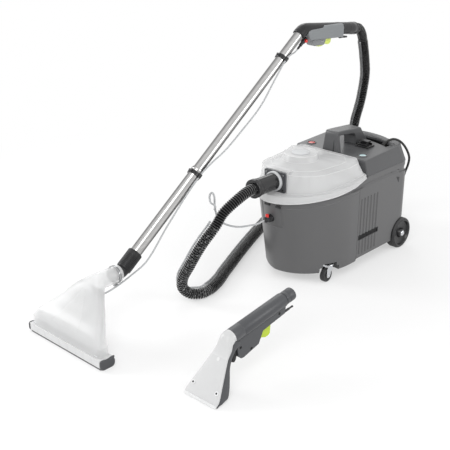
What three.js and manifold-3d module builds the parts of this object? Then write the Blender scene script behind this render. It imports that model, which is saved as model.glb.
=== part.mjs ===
// A compact spray-extraction carpet cleaner: tank on wheels, suction hose, floor wand, upholstery tool.
// Millimetres, +Z up. The machine's front faces -Y and its left side faces +X.
// The origin lies on the floor under the middle of the whole set.
import * as THREE from 'three';
import { mergeVertices } from 'three/addons/utils/BufferGeometryUtils.js';
import Module from 'manifold-3d';

const wasm = await Module();
wasm.setup();

// ---------------------------------------------------------------- driving dimensions

const gap = 0.3;                  // clearance between two pieces that touch

// where the three loose units stand on the floor
const machineX = -39;
const machineY = 353;
const wandX = -175;
const wandY = -650;
const handX = 274;
const handY = -576;

// tank housing
const hullHalf = 157;             // half width
const hullRearY = 270;
const hullCorner = 50;
const hullBottomZ = 30;           // under the nose
const sideBottomZ = 39;           // under the side panels
const sideBottomY = -34;          // where that step is
const hullWall = 5;
const hullFoot = 8;               // chamfer round the floor
const noseStartY = -62;           // where the half-elliptic nose starts
const noseTopY = -305;            // front of the nose at the lid
const noseBottomY = -260;         // front of the nose at the floor
const noseRightTop = 1.75;        // roundness of the nose's right quarter at the lid; 2 is an ellipse
const noseRightBottom = 1.55;     // and at the floor
const domeY = -148;               // centre of the lid's dome and knob
const lidSeatZ = 305;             // height at which the nose stops sloping forwards
const seamZ = 318;                // joint between housing and top cover
const waistZ = 285;
const waistStep = 3;
const shelfZ = 148;               // floor of the well for the dirty water tank
const shelfThick = 4;
const bulkheadY = 2;              // wall between the well and the motor bay
const bulkheadThick = 4;
const shelfHoleWidth = 110;
const shelfHoleDepth = 60;
const shelfHoleY = -70;

// ribbed side panel and its cooling slot
const grooveCount = 6;
const groovePitch = 18;
const grooveWidth = 8;
const grooveDepth = 2.4;
const grooveStartY = -20;
const grooveLowZ = 52;
const grooveHighZ = 250;
const slotFrontY = -28;
const slotRearY = 88;
const slotLowZ = 105;
const slotHighZ = 122;
const ventDepth = 12;
const louvreCount = 5;
const louvreDepth = 3;

// recessed front panel with the spray connection
const panelHalf = 42;
const panelLowZ = 195;
const panelHighZ = 283;
const panelDepth = 2.5;
const couplingZ = 222;
const couplingRadius = 13;
const couplingLength = 30;
const couplingNut = 9;
const buttonRadius = 5.5;
const buttonHeight = 11;
const buttonSink = 4;
const buttonTravel = 1.5;
const buttonSetback = 15;

// rear wheels on their axle
const wheelRadius = 54.6;
const wheelWidth = 34;
const wheelProud = 8;             // how far a wheel stands outside the hull
const wheelOuterX = hullHalf + wheelProud;
const wheelY = 233;
const wheelClearance = 6;
const wellWall = 4;
const axleRadius = 5;
const axleCapRadius = 10;
const axleCapLength = 5;
const runningGap = 0.4;

// front swivel casters
const casterLeftInset = 25;       // from the hull's left side
const casterRightInset = 61;      // and from its right side
const casterLeftX = hullHalf - casterLeftInset;
const casterRightX = casterRightInset - hullHalf;
const casterY = -150;
const casterTrail = 13;
const casterRadius = 22.5;
const casterWidth = 18;
const casterPlateZ = 55;
const casterPlateThick = 3;
const casterArm = 2;
const casterStem = 5;
const casterStemLength = 20;
const casterPin = 3;
const pocketRadius = 37;
const pocketTopZ = 61;
const pocketWall = 4;

// dirty water tank inside the well
const tubGap = 12;                // all round, to the housing's outer face
const tubWall = 3;
const tubTopZ = 296;
const tubBackY = -4;
const tubCorner = 25;

// lid
const skirtOut = 6;               // overhang outside the housing
const skirtThick = 4;
const skirtFrontZ = 282;          // lower edge at the nose
const skirtSideZ = 293;           // beside the knob
const skirtMidZ = 304;
const skirtBackZ = 316;           // at the back corners
const ledgeFrontZ = 307;          // flat ledge between skirt and dome
const ledgeSideZ = 309;
const ledgeMidZ = 319;
const ledgeBackZ = 329;
const midY = -62;                 // where the lid's lines bend
const lidWall = 3.5;
const lidBackY = 8;
const lidShoulderInset = 18;
const lidShoulderHalf = hullHalf - lidShoulderInset;  // half width at the top of the back corners
const lidChamfer = 10;
const domeWallFoot = 130;         // radius of the dome's wall at its foot
const domeWallTop = 121;          // and at its top
const domeFrontZ = 368;
const domeSideZ = 361;
const domeMidZ = 361;
const domeBackZ = 380;
const knobRadius = 60;
const knobBaseZ = 385;
const knobTopRadius = 54;
const knobTopZ = 405;

// hose port on the lid
const portZ = 341;
const portPlateWidth = 84;
const portPlateHeight = 66;
const portPlateTopZ = 374.5;
const portPlateThick = 7;
const portBossY = -267;
const portBossDepth = 30;
const connectorRadius = 27;
const connectorEndY = -378;
const connectorInside = 20;
const flareRadius = 30;
const flareLength = 14;
const portRingRadius = 32;
const portRingThick = 9;
const screwRadius = 3.6;
const screwHead = 2;
const screwInset = 9;

// float valve below the dome
const cageRadius = 34;
const cageWall = 3;
const cageLowZ = 302;
const cageWindow = 34;
const floatRadius = 27;
const floatHeight = 26;

// top cover
const coverFrontY = 10;
const coverInset = 2;             // from the housing's face, at the seam
const coverLean = 14;             // from the seam to the cover's top
const coverHalfLow = hullHalf - coverInset;
const coverHalfHigh = coverHalfLow - coverLean;
const coverRearLowY = 268;
const coverRearHighY = 250;
const coverCorner = 48;
const coverFrontZ = 369;
const coverRearZ = 377;
const coverWall = 4;
const rimTopZ = 387;
const rimInset = 9;
const rimHalf = coverHalfHigh - rimInset;
const pocketFloorZ = 350;
const stowInset = 16;
const stowHalf = rimHalf - stowInset;  // stowage recess in front of the rear rim
const stowFrontY = 190;
const stowBackY = 214;
const switchInset = 36;
const switchX = coverHalfHigh - switchInset;
const switchY = 47;
const switchRadius = 12.5;
const switchCollar = 17;
const switchCollarHeight = 4;
const switchDepth = 12;
const switchTravel = 2;

// carry handle
const handleHalf = 25;
const handleFrontY = 12;
const handlePost = 14;
const handleTopFrontZ = 440;
const handleTopRearZ = 430;
const handleBar = 14;
const handleRearTopY = 150;
const handleRearFootY = 185;
const handleRearPostY = 120;
const handleFootHalf = 35;
const handleSlot = 3;

// accessory bracket beside the handle
const bracketX = 55;
const bracketY = 130;
const bracketWidth = 52;
const bracketDepth = 42;
const bracketThick = 5;
const bracketBlock = 26;
const bracketBlockHeight = 15;

// inside the motor bay
const motorX = 0;
const motorY = 130;
const motorRadius = 60;
const motorFootZ = 110;
const motorTopZ = 262;
const pedestalRadius = 50;
const pedestalWall = 6;
const fanChamberRadius = 52;
const fanChamberDepth = 26;
const fanRadius = 48;
const fanThick = 14;
const shaftRadius = 4;
const pumpX = -95;
const pumpY = 70;
const pumpRadius = 26;
const pumpHeight = 90;

// suction hose and its sleeve, spray hose, mains lead
const hoseRadius = 17.5;
const sleeveRadius = 6.5;
const sprayRadius = 3;
const leadRadius = 4;
const coilMeanRadius = 64;
const coilSection = 36;
const coilX = -60;
const coilY = 385;
const glandX = 92;
const glandY = 187;
const glandRadius = 9;
const glandHeight = 16;
const plugRadius = 17;
const plugNeck = 18;
const plugBody = 36;
const plugPin = 19;
const plugPinRadius = 2.4;
const plugPinPitch = 19;

// wand, measured from the middle of its suction lip
const shaftTilt = 36;             // degrees above the floor
const shaftY = 268;               // mouth of the lower cuff
const shaftZ = 208;
const lowerTubeRadius = 18.4;
const tubeWall = 1.4;
const lowerTubeEnd = 322;
const upperTubeStart = 282;
const upperTubeEnd = 905;
const cuffSocket = 45;
const clipLow = 302;
const clipHigh = 795;
const clipWidth = 13;
const clipThick = 2.8;
const eyeGap = 0.7;
const wandHoseRadius = 2.5;
const cuffRadius = 23;
const cuffLength = 62;
const elbowRadius = 19.5;
const elbowWall = 4;
const neckZ = 166;
const neckY = 200;                // open end of the nozzle's neck
const neckRadius = 25;
const neckDepth = 26;             // how far the elbow reaches in
const clampThick = 2;
const clampWidth = 9;
const clampY = 187;
const clampScrew = 12;

// floor nozzle
const lipHalf = 156.5;
const lipFrontY = -8;
const lipBackY = 38;
const lipBarLowZ = 13;
const lipBarHighZ = 30;
const lipSlot = 5;
const lipSlotHalf = 142;
const lipCapWidth = 6;
const fanHalf = 150;
const fanWall = 3;
const jetRadius = 9;
const jetFlange = 14;
const jetTip = 4;

// wand grip
const gripRadius = 20.5;
const gripBoreWall = 5;
const gripSteps = 16;
const gripStart = 872;            // along the shaft
const gripEndY = 1222;
const gripEndZ = 731.5;
const hoseCuffRadius = 20.5;
const hoseCuffOverlap = 17;
const hoseCuffLength = 105;
const hoseSocket = 14;
const housingHalf = 15;
const saddleHalf = 23;
const triggerHalf = 7.5;
const triggerPin = 2.5;
const couplerRadius = 8.5;
const couplerTip = 5.5;
const nippleRadius = 3.5;

// upholstery tool, measured from the middle of its lip
const handLipHalf = 56;
const handNeckHalf = 22;
const handPanelThick = 8;
const handWall = 3;
const handTubeY = 129;
const handTubeZ = 140;
const handTubeTilt = 7.7;         // degrees
const handTubeLength = 193;
const handTubeRadius = 20.5;
const handTubeBore = 15;
const handSpigotRadius = 18.6;
const handSpigotLength = 38;
const handHousingHalf = 15;

// mesh fineness
const noseSteps = 20;
const cornerSteps = 4;
const roundSides = 20;
const smallSides = 10;
const wheelSides = 20;
const bendSides = 16;
const cordSides = 8;

// ---------------------------------------------------------------- finishes

const finish = (color, roughness, metalness = 0) => new THREE.MeshStandardMaterial({ color, roughness,
  metalness });
const greyBody = finish(0x6a6a6b, 0.55);
const darkBody = finish(0x5a5a5b, 0.55);
const clearPlastic = finish(0xe9ebec, 0.25);
const blackPlastic = finish(0x222324, 0.35);
const slatePlastic = finish(0x4b4c50, 0.45);
const greyGrip = finish(0x8b8c8f, 0.5);
const limePlastic = finish(0xb4cb1c, 0.4);
const redPlastic = finish(0xd8201f, 0.35);
const paleGrey = finish(0xc4c6c8, 0.4);
const greenCap = finish(0xbfe0cf, 0.3);
const tubWhite = finish(0xdfe1e2, 0.4);
const rubberBlack = finish(0x1c1c1d, 0.7);
const chrome = finish(0xd9d9d9, 0.12, 1);
const steel = finish(0xb9bbbd, 0.3, 1);

// ---------------------------------------------------------------- solid helpers

const rad = THREE.MathUtils.degToRad;
const lerp = THREE.MathUtils.lerp;
const vec = (x, y, z) => new THREE.Vector3(x, y, z);

/** A closed geometry as a solid, its vertices merged and its faces turned outwards. */
function solidOf(geometry) {
  const bare = geometry.clone();
  for (const key of Object.keys(bare.attributes)) {
    if (key !== 'position') bare.deleteAttribute(key);
  }
  const merged = mergeVertices(bare, 1e-4);
  const at = merged.attributes.position;
  const index = merged.index.array;
  const corners = [];
  let volume = 0;
  for (let i = 0; i < index.length; i += 3) {
    const [a, b, c] = [index[i], index[i + 1], index[i + 2]];
    if (a === b || b === c || c === a) continue;
    corners.push(a, b, c);
    const [p, q, r] = [a, b, c].map((k) => new THREE.Vector3().fromBufferAttribute(at, k));
    volume += p.dot(q.cross(r));
  }
  if (volume < 0) corners.reverse();
  return new wasm.Manifold(new wasm.Mesh({
    numProp: 3,
    vertProperties: new Float32Array(at.array),
    triVerts: new Uint32Array(corners),
  }));
}

function geometryOf(body) {
  const mesh = body.getMesh();
  const geometry = new THREE.BufferGeometry();
  geometry.setAttribute('position', new THREE.BufferAttribute(new Float32Array(mesh.vertProperties), 3));
  geometry.setIndex(new THREE.BufferAttribute(new Uint32Array(mesh.triVerts), 1));
  geometry.computeVertexNormals();
  return geometry;
}

const joined = (...parts) => geometryOf(parts.map(solidOf).reduce((a, b) => a.add(b)));
const cut = (part, ...tools) => geometryOf(tools.map(solidOf).reduce((a, b) => a.subtract(b), solidOf(part)));
const common = (a, b) => geometryOf(solidOf(a).intersect(solidOf(b)));

/** A box between two corners. */
function block(x0, x1, y0, y1, z0, z1) {
  const box = new THREE.BoxGeometry(x1 - x0, y1 - y0, z1 - z0);
  return box.translate((x0 + x1) / 2, (y0 + y1) / 2, (z0 + z1) / 2);
}

/** A round bar, or a cone, from one point to another. */
function rod(from, to, radius, endRadius = radius, sides = roundSides) {
  const along = to.clone().sub(from);
  const bar = new THREE.CylinderGeometry(endRadius, radius, along.length(), sides);
  const turn = new THREE.Quaternion().setFromUnitVectors(vec(0, 1, 0), along.clone().normalize());
  bar.applyQuaternion(turn);
  const mid = from.clone().add(to).multiplyScalar(0.5);
  return bar.translate(mid.x, mid.y, mid.z);
}

/** A profile of [radius, height] points turned about the Z axis. */
function turned(profile, sides = roundSides) {
  const lathe = new THREE.LatheGeometry(profile.map(([r, h]) => new THREE.Vector2(r, h)), sides);
  return lathe.rotateX(Math.PI / 2);
}

/** The same, standing on a point and pointing along a direction. */
function turnedAlong(profile, base, direction, sides = roundSides) {
  const turn = new THREE.Quaternion().setFromUnitVectors(vec(0, 0, 1), direction.clone().normalize());
  return turned(profile, sides).applyQuaternion(turn).translate(base.x, base.y, base.z);
}

/** A ring: closed rectangle section turned about Z. */
const ring = (inner, outer, low, high, sides = roundSides) => turned(
  [[inner, low], [outer, low], [outer, high], [inner, high], [inner, low]], sides);

/** A skin over loops of equal point count, closed by a fan at each end. */
function loft(loops) {
  const count = loops[0].length;
  const points = loops.flat();
  const index = [];
  for (let l = 0; l + 1 < loops.length; l += 1) {
    for (let i = 0; i < count; i += 1) {
      const j = (i + 1) % count;
      const [a, b, c, d] = [l * count + i, l * count + j, (l + 1) * count + j, (l + 1) * count + i];
      index.push(a, b, c, a, c, d);
    }
  }
  const fan = (loop, first, flip) => {
    const middle = loop.reduce((sum, p) => sum.add(p), vec(0, 0, 0)).divideScalar(count);
    const hub = points.push(middle) - 1;
    for (let i = 0; i < count; i += 1) {
      const [a, b] = [first + i, first + ((i + 1) % count)];
      index.push(...(flip ? [hub, b, a] : [hub, a, b]));
    }
  };
  fan(loops[0], 0, true);
  fan(loops[loops.length - 1], (loops.length - 1) * count, false);
  const geometry = new THREE.BufferGeometry();
  geometry.setAttribute('position', new THREE.Float32BufferAttribute(points.flatMap((p) => p.toArray()), 3));
  geometry.setIndex(index);
  return geometryOf(solidOf(geometry));
}

/** An outline of [y, z] points, half as thick as given to each side of X = 0. */
function sidePlate(outline, half) {
  const shape = new THREE.Shape(outline.map(([y, z]) => new THREE.Vector2(y, z)));
  const plate = new THREE.ExtrudeGeometry(shape, { depth: 2 * half, bevelEnabled: false, curveSegments: 8 });
  // the outline's first axis becomes Y, its second Z, and the thickness X
  const turn = new THREE.Matrix4().makeBasis(vec(0, 1, 0), vec(0, 0, 1), vec(1, 0, 0));
  return plate.applyMatrix4(turn).translate(-half, 0, 0);
}

/** A round section swept along a smooth route. */
function swept(points, radius, steps, sides = cordSides) {
  const section = new THREE.Shape();
  for (let i = 0; i < sides; i += 1) {
    const a = (2 * Math.PI * i) / sides;
    const corner = [radius * Math.cos(a), radius * Math.sin(a)];
    if (i === 0) section.moveTo(...corner);
    else section.lineTo(...corner);
  }
  section.closePath();
  const route = new THREE.CatmullRomCurve3(points.map((p) => vec(...p)));
  return new THREE.ExtrudeGeometry(section, { steps, extrudePath: route, bevelEnabled: false });
}

const pieces = new THREE.Group();

function unit(parent, x, y) {
  const group = new THREE.Group();
  group.position.set(x, y, 0);
  parent.add(group);
  return group;
}

function piece(parent, name, geometry, material) {
  const mesh = new THREE.Mesh(geometry, material);
  mesh.name = name;
  parent.add(mesh);
  return mesh;
}

// ---------------------------------------------------------------- machine: housing

/** Points of a nose from its right end round to its left end, its right quarter a little flatter. */
function noseArc(half, reach, rightRoundness) {
  const points = [];
  for (let i = 0; i <= noseSteps; i += 1) {
    const a = Math.PI * (1 + i / noseSteps);
    const power = Math.cos(a) < 0 ? 2 / rightRoundness : 1;
    const across = Math.sign(Math.cos(a)) * Math.abs(Math.cos(a)) ** power;
    points.push([half * across, -reach * Math.abs(Math.sin(a)) ** power]);
  }
  return points;
}

/** Half-elliptic nose at -Y, straight sides, rounded rear corners. */
function hullLoop(inset, z, { half = hullHalf, rearY = hullRearY, corner = hullCorner } = {}) {
  const rise = THREE.MathUtils.clamp((z - hullBottomZ) / (lidSeatZ - hullBottomZ), 0, 1);
  const frontY = lerp(noseBottomY, noseTopY, rise);
  const r = half - inset;
  const arc = noseArc(r, noseStartY - frontY - inset, lerp(noseRightBottom, noseRightTop, rise));
  const loop = arc.map(([x, y]) => vec(x, noseStartY + y, z));
  const round = Math.max(corner - inset, 2);
  for (const side of [1, -1]) {
    const hub = vec(side * (r - round), rearY - inset - round, z);
    for (let i = 0; i <= cornerSteps; i += 1) {
      const a = (Math.PI / 2) * ((side === 1 ? 0 : 1) + i / cornerSteps);
      loop.push(vec(hub.x + round * Math.cos(a), hub.y + round * Math.sin(a), z));
    }
  }
  return loop;
}

const mirrored = (make) => [1, -1].map(make);

function tankHousing() {
  const inside = waistStep + hullWall;
  const shell = loft([
    hullLoop(hullFoot, hullBottomZ),
    hullLoop(0, hullBottomZ + hullFoot),
    hullLoop(0, waistZ),
    hullLoop(waistStep, waistZ + waistStep),
    hullLoop(waistStep, lidSeatZ),
    hullLoop(waistStep, seamZ - gap),
    hullLoop(inside, seamZ - gap),
    hullLoop(inside, lidSeatZ),
    hullLoop(inside, hullBottomZ + hullFoot + hullWall),
    hullLoop(inside + hullWall, hullBottomZ + hullWall),
  ]);
  const rearFloor = common(loft([hullLoop(inside - 1, sideBottomZ),
    hullLoop(inside - 1, sideBottomZ + hullWall)]),
    block(-200, 200, sideBottomY, 400, sideBottomZ - 1, sideBottomZ + hullWall));
  const belowRear = block(-200, 200, sideBottomY + hullWall, 400, 0, sideBottomZ);
  const envelope = loft([
    hullLoop(hullFoot, hullBottomZ),
    hullLoop(0, hullBottomZ + hullFoot),
    hullLoop(0, shelfZ + shelfThick),
  ]);
  const bulkhead = block(-hullHalf + 6, hullHalf - 6, bulkheadY, bulkheadY + bulkheadThick,
    hullBottomZ + 2, lidSeatZ);
  const shelfArea = loft([hullLoop(inside - 1, shelfZ), hullLoop(inside - 1, shelfZ + shelfThick)]);
  const shelf = common(shelfArea, block(-200, 200, -400, bulkheadY + 1, shelfZ, shelfZ + shelfThick));
  const shelfHole = block(-shelfHoleWidth / 2, shelfHoleWidth / 2, shelfHoleY - shelfHoleDepth / 2,
    shelfHoleY + shelfHoleDepth / 2, shelfZ - 5, shelfZ + shelfThick + 5);
  const linings = [];
  const cuts = [];
  for (const side of [1, -1]) {
    const x = side === 1 ? casterLeftX : casterRightX;
    linings.push(common(envelope, rod(vec(x, casterY, hullBottomZ - 5), vec(x, casterY,
      pocketTopZ + pocketWall),
      pocketRadius + pocketWall)));
    linings.push(rod(vec(x, casterY, pocketTopZ), vec(x, casterY, pocketTopZ + casterStemLength + 2),
      casterStem + pocketWall));
    cuts.push(rod(vec(x, casterY, hullBottomZ - 20), vec(x, casterY, pocketTopZ), pocketRadius));
    cuts.push(rod(vec(x, casterY, pocketTopZ - 5),
      vec(x, casterY, casterPlateZ + casterPlateThick + casterStemLength + runningGap),
        casterStem + runningGap));
    const wellInner = wheelOuterX - wheelWidth - 4;
    const axis = (x0, x1, r) => rod(vec(side * x0, wheelY, wheelRadius),
      vec(side * x1, wheelY, wheelRadius), r);
    linings.push(common(envelope,
      axis(wellInner - wellWall, hullHalf, wheelRadius + wheelClearance + wellWall)));
    cuts.push(axis(wellInner, wheelOuterX + 30, wheelRadius + wheelClearance));
    cuts.push(block(Math.min(side * slotDepthStart, side * 200), Math.max(side * slotDepthStart, side * 200),
      slotFrontY, slotRearY, slotLowZ, slotHighZ));
    for (let i = 0; i < grooveCount; i += 1) {
      const y = grooveStartY + i * groovePitch;
      const [x0, x1] = side === 1 ? [hullHalf - grooveDepth, 200] : [-200, grooveDepth - hullHalf];
      cuts.push(block(x0, x1, y - grooveWidth / 2, y + grooveWidth / 2, grooveLowZ, grooveHighZ));
    }
  }
  const axleHole = rod(vec(-hullHalf, wheelY, wheelRadius), vec(hullHalf, wheelY, wheelRadius),
    axleRadius + gap);
  const pedestal = ring(pedestalRadius - pedestalWall, pedestalRadius, sideBottomZ + 2, motorFootZ - gap)
    .translate(motorX, motorY, 0);
  const behindPanel = loft([hullLoop(panelDepth, panelLowZ - 10), hullLoop(panelDepth, panelHighZ + 10)]);
  const panel = cut(block(-panelHalf, panelHalf, -400, -100, panelLowZ, panelHighZ), behindPanel);
  const couplingHole = rod(vec(0, -400, couplingZ), vec(0, -200, couplingZ), couplingRadius + gap);
  const cornerZ = lidHeight(lidBackY - lidChamfer - lidWall, skirtHeights);
  const seatHeight = (y) => Math.min(lidHeight(y, ledgeHeights) - lidWall, cornerZ) - gap;
  const seat = [skirtFrontY, domeY, midY, lidBackY - lidChamfer, coverFrontY - gap];
  const frontTop = sidePlate([
    ...seat.map((y) => [y, seatHeight(y)]), [coverFrontY - gap, seamZ + 20], [skirtFrontY, seamZ + 20],
  ], hullHalf + skirtOut);
  return cut(joined(shell, rearFloor, bulkhead, shelf, pedestal, ...linings), shelfHole, belowRear,
    ...cuts, axleHole, panel,
    couplingHole, frontTop);
}

const slotDepthStart = hullHalf - ventDepth;

/** Black louvred insert that fills the cooling slot of one side. */
function sideVent(side) {
  const inner = slotDepthStart + 2;
  const [x0, x1] = side === 1 ? [inner, hullHalf - 1.5] : [1.5 - hullHalf, -inner];
  const body = block(x0, x1, slotFrontY + gap, slotRearY - gap, slotLowZ + gap, slotHighZ - gap);
  const step = (slotHighZ - slotLowZ - 4) / louvreCount;
  const slits = [];
  for (let i = 0; i < louvreCount; i += 1) {
    const z = slotLowZ + 2 + (i + 0.25) * step;
    const [s0, s1] = side === 1 ? [x1 - louvreDepth, 200] : [-200, x0 + louvreDepth];
    slits.push(block(s0, s1, slotFrontY + 5, slotRearY - 5, z, z + step / 2));
  }
  return cut(body, ...slits);
}

/** Spray connection in the front panel: a collar seated in the wall, with the plug of the hose in it. */
const couplingWallY = noseFaceY(couplingZ);

/** Y of the housing's front face at X = 0 and a height. */
function noseFaceY(z) {
  return Math.min(...hullLoop(0, z).map((p) => p.y));
}

const couplingTipY = couplingWallY - couplingLength;
const buttonY = couplingWallY - buttonSetback;
const buttonSeatZ = couplingZ + couplingNut - buttonSink;

function machineCoupling() {
  const start = vec(0, couplingWallY + hullWall, couplingZ);
  const profile = [
    [0, 0], [couplingRadius, 0], [couplingRadius, hullWall + 6], [couplingNut, hullWall + 8],
    [couplingNut, hullWall + couplingLength - 8], [sprayRadius + 2, hullWall + couplingLength],
      [0, hullWall + couplingLength],
  ];
  const body = turnedAlong(profile, start, vec(0, -1, 0), smallSides * 2);
  return cut(body, rod(vec(0, buttonY, buttonSeatZ), vec(0, buttonY, buttonSeatZ + 50),
    buttonRadius + gap, buttonRadius + gap, smallSides));
}

function pushButton(base, direction, radius, height) {
  const profile = [[0, 0], [radius, 0], [radius, height - 1.5], [radius - 1.5, height], [0, height]];
  return turnedAlong(profile, base, direction, smallSides);
}

// ---------------------------------------------------------------- machine: wheels and casters

function rearAxle() {
  const end = wheelOuterX + gap;
  const bar = rod(vec(-end - 1, wheelY, wheelRadius), vec(end + 1, wheelY, wheelRadius), axleRadius);
  const caps = mirrored((side) => turnedAlong(
    [[0, 0], [axleCapRadius, 0], [axleCapRadius - 1, axleCapLength * 0.6],
      [axleCapRadius / 2, axleCapLength], [0, axleCapLength]],
    vec(side * end, wheelY, wheelRadius), vec(side, 0, 0)));
  return joined(bar, ...caps);
}

/** Dished wheel, its outer face towards the given side. */
function rearWheel(side) {
  const bore = axleRadius + runningGap;
  const w = wheelWidth;
  const profile = [
    [bore, 0], [13, 0], [15, 5], [40, 5], [44, 0], [wheelRadius - 5, 0], [wheelRadius, 5],
      [wheelRadius, w - 5],
    [wheelRadius - 5, w], [45, w], [41, w - 9], [18, w - 12], [14, w], [bore, w], [bore, 0],
  ];
  return turnedAlong(profile, vec(side * (wheelOuterX - w), wheelY, wheelRadius), vec(side, 0, 0),
    wheelSides);
}

const casterAxle = (x) => vec(x, casterY - casterTrail, casterRadius);

function casterFork(x) {
  const pivot = vec(x, casterY, 0);
  const plateLow = casterPlateZ;
  const plateHigh = casterPlateZ + casterPlateThick;
  const armIn = casterWidth / 2 + 1;
  const armOut = armIn + casterArm;
  const stem = rod(pivot.clone().setZ(plateLow), pivot.clone().setZ(plateHigh + casterStemLength),
    casterStem, casterStem, smallSides);
  const disc = rod(pivot.clone().setZ(plateLow), pivot.clone().setZ(plateHigh), 15, 15, roundSides);
  const outline = [
    [12, plateHigh], [-14, plateHigh], [-casterTrail - 9, casterRadius + 12],
      [-casterTrail - 7, casterRadius - 6],
    [-casterTrail + 7, casterRadius - 6], [-casterTrail + 12, casterRadius + 12],
  ];
  const arms = [armIn, -armOut].map((offset) => sidePlate(outline, casterArm / 2)
    .translate(pivot.x + offset + casterArm / 2, pivot.y, 0));
  const bridge = block(pivot.x - armOut, pivot.x + armOut, pivot.y - 14, pivot.y + 12, plateLow, plateHigh);
  const pin = casterAxle(x);
  const axle = rod(vec(pin.x - armOut - 1, pin.y, pin.z), vec(pin.x + armOut + 1, pin.y, pin.z),
    casterPin, casterPin, smallSides);
  return joined(bridge, disc, stem, ...arms, axle);
}

function casterWheel(x) {
  const pin = casterAxle(x);
  const w = casterWidth;
  const bore = casterPin + runningGap;
  const r = casterRadius;
  const profile = [
    [bore, 0], [8, 0], [10, 2], [r - 6, 0], [r - 2, 0], [r, 3],
    [r, w - 3], [r - 2, w], [r - 6, w], [10, w - 2], [8, w], [bore, w], [bore, 0],
  ];
  return turnedAlong(profile, vec(pin.x - w / 2, pin.y, pin.z), vec(1, 0, 0), wheelSides);
}

// ---------------------------------------------------------------- machine: tub and lid

function dirtyTank() {
  const form = { rearY: tubBackY + tubGap, corner: tubCorner + tubGap };
  const floor = shelfZ + shelfThick + gap;
  return loft([
    hullLoop(tubGap + hullFoot, floor, form),
    hullLoop(tubGap, floor + hullFoot, form),
    hullLoop(tubGap, tubTopZ, form),
    hullLoop(tubGap + tubWall, tubTopZ, form),
    hullLoop(tubGap + tubWall, floor + hullFoot, form),
    hullLoop(tubGap + tubWall + hullFoot, floor + tubWall, form),
  ]);
}

/** Height of a line of the lid at some Y, from its heights at the nose, the knob, midway and the back. */
function lidHeight(y, [front, side, mid, rear]) {
  if (y <= domeY) return lerp(front, side, (y - skirtFrontY) / (domeY - skirtFrontY));
  if (y <= midY) return lerp(side, mid, (y - domeY) / (midY - domeY));
  return lerp(mid, rear, Math.min(1, (y - midY) / (lidBackY - lidChamfer - midY)));
}

/** Form of the nose of a line round the lid: half width, Y where it starts, reach to the front. */
const roundNose = (radius) => ({ half: radius, startY: domeY, reach: radius, roundness: 2 });
const skirtNose = (out) => ({
  half: hullHalf + out, startY: noseStartY, reach: noseStartY - noseTopY + out, roundness: noseRightTop,
});

/** One line round the lid: its nose, sides that widen to the back corners, a straight back. */
function lidLoop({ half, startY, reach, roundness }, side, back, heights) {
  const loop = [];
  const add = (x, y) => loop.push(vec(x, y, lidHeight(y, heights)));
  for (const [x, y] of noseArc(half, reach, roundness)) add(x, startY + y);
  const cornerY = back - lidChamfer;
  const sidePoints = [0.25, 0.5, 0.75, 1].map((t) => [lerp(half, side, t), lerp(startY, cornerY, t)]);
  sidePoints.push([side - lidChamfer, back]);
  for (const [x, y] of sidePoints) add(x, y);
  for (const [x, y] of sidePoints.reverse()) add(-x, y);
  return loop;
}

/** A round level line with as many points, matched to the lid's. */
function knobLoop(radius, z) {
  const loop = [];
  for (let i = 0; i <= noseSteps; i += 1) {
    const a = Math.PI * (1 + i / noseSteps);
    loop.push(vec(radius * Math.cos(a), domeY + radius * Math.sin(a), z));
  }
  const rest = 10;
  for (let i = 1; i <= rest; i += 1) {
    const a = (Math.PI * i) / (rest + 1);
    loop.push(vec(radius * Math.cos(a), domeY + radius * Math.sin(a), z));
  }
  return loop;
}

const skirtFrontY = noseTopY - skirtOut;
const skirtHeights = [skirtFrontZ, skirtSideZ, skirtMidZ, skirtBackZ];
const ledgeHeights = [ledgeFrontZ, ledgeSideZ, ledgeMidZ, ledgeBackZ];
const domeHeights = [domeFrontZ, domeSideZ, domeMidZ, domeBackZ];
const raised = (heights, by) => heights.map((z) => z + by);
const portPlateMidZ = portPlateTopZ - portPlateHeight / 2;

function lid() {
  const t = lidWall;
  const inner = skirtOut - skirtThick;
  const sideInner = hullHalf - waistStep + 2 * gap;
  const back = lidBackY;
  const shoulder = lidShoulderHalf;
  const step = 29;                // width of the flat crescent inside the dome's edge
  const foot = shoulder + 11;
  const shell = loft([
    knobLoop(knobTopRadius, knobTopZ),
    knobLoop(knobRadius, knobBaseZ),
    lidLoop(roundNose(domeWallTop - step), shoulder - step, back - 22, raised(domeHeights, 7)),
    lidLoop(roundNose(domeWallTop), shoulder, back, domeHeights),
    lidLoop(roundNose(domeWallFoot), foot, back, ledgeHeights),
    lidLoop(skirtNose(skirtOut - 6), sideInner + t - 3, back, ledgeHeights),
    lidLoop(skirtNose(skirtOut - 2), sideInner + t - 1, back, raised(ledgeHeights, -3)),
    lidLoop(skirtNose(skirtOut), sideInner + t, back, skirtHeights),
    lidLoop(skirtNose(inner), sideInner, back - t, skirtHeights),
    lidLoop(skirtNose(inner - 1), sideInner, back - t, raised(ledgeHeights, -t)),
    lidLoop(roundNose(domeWallFoot - t), foot - t, back - t, raised(ledgeHeights, -t)),
    lidLoop(roundNose(domeWallTop - t), shoulder - t, back - t, raised(domeHeights, -t)),
    lidLoop(roundNose(domeWallTop - step - t), shoulder - step - t, back - 22 - t,
      raised(domeHeights, 7 - t)),
    knobLoop(knobRadius - t, knobBaseZ - t),
    knobLoop(knobTopRadius - t, knobTopZ - t),
  ]);
  const half = portPlateWidth / 2 + 2;
  const low = portPlateMidZ - portPlateHeight / 2 - 1.5;
  const boss = block(-half, half, portBossY, portBossY + portBossDepth, low, portPlateTopZ + 2);
  const front = block(-half, half, portBossY - 40, portBossY, low + 1, portPlateTopZ + 20);
  const bore = rod(vec(0, portBossY - 50, portZ), vec(0, portBossY + connectorInside + 4, portZ),
    connectorRadius + gap);
  const way = rod(vec(0, portBossY - 50, portZ), vec(0, portBossY + portBossDepth + 50, portZ),
    connectorRadius - 6);
  return cut(joined(shell, boss), front, bore, way);
}

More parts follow.
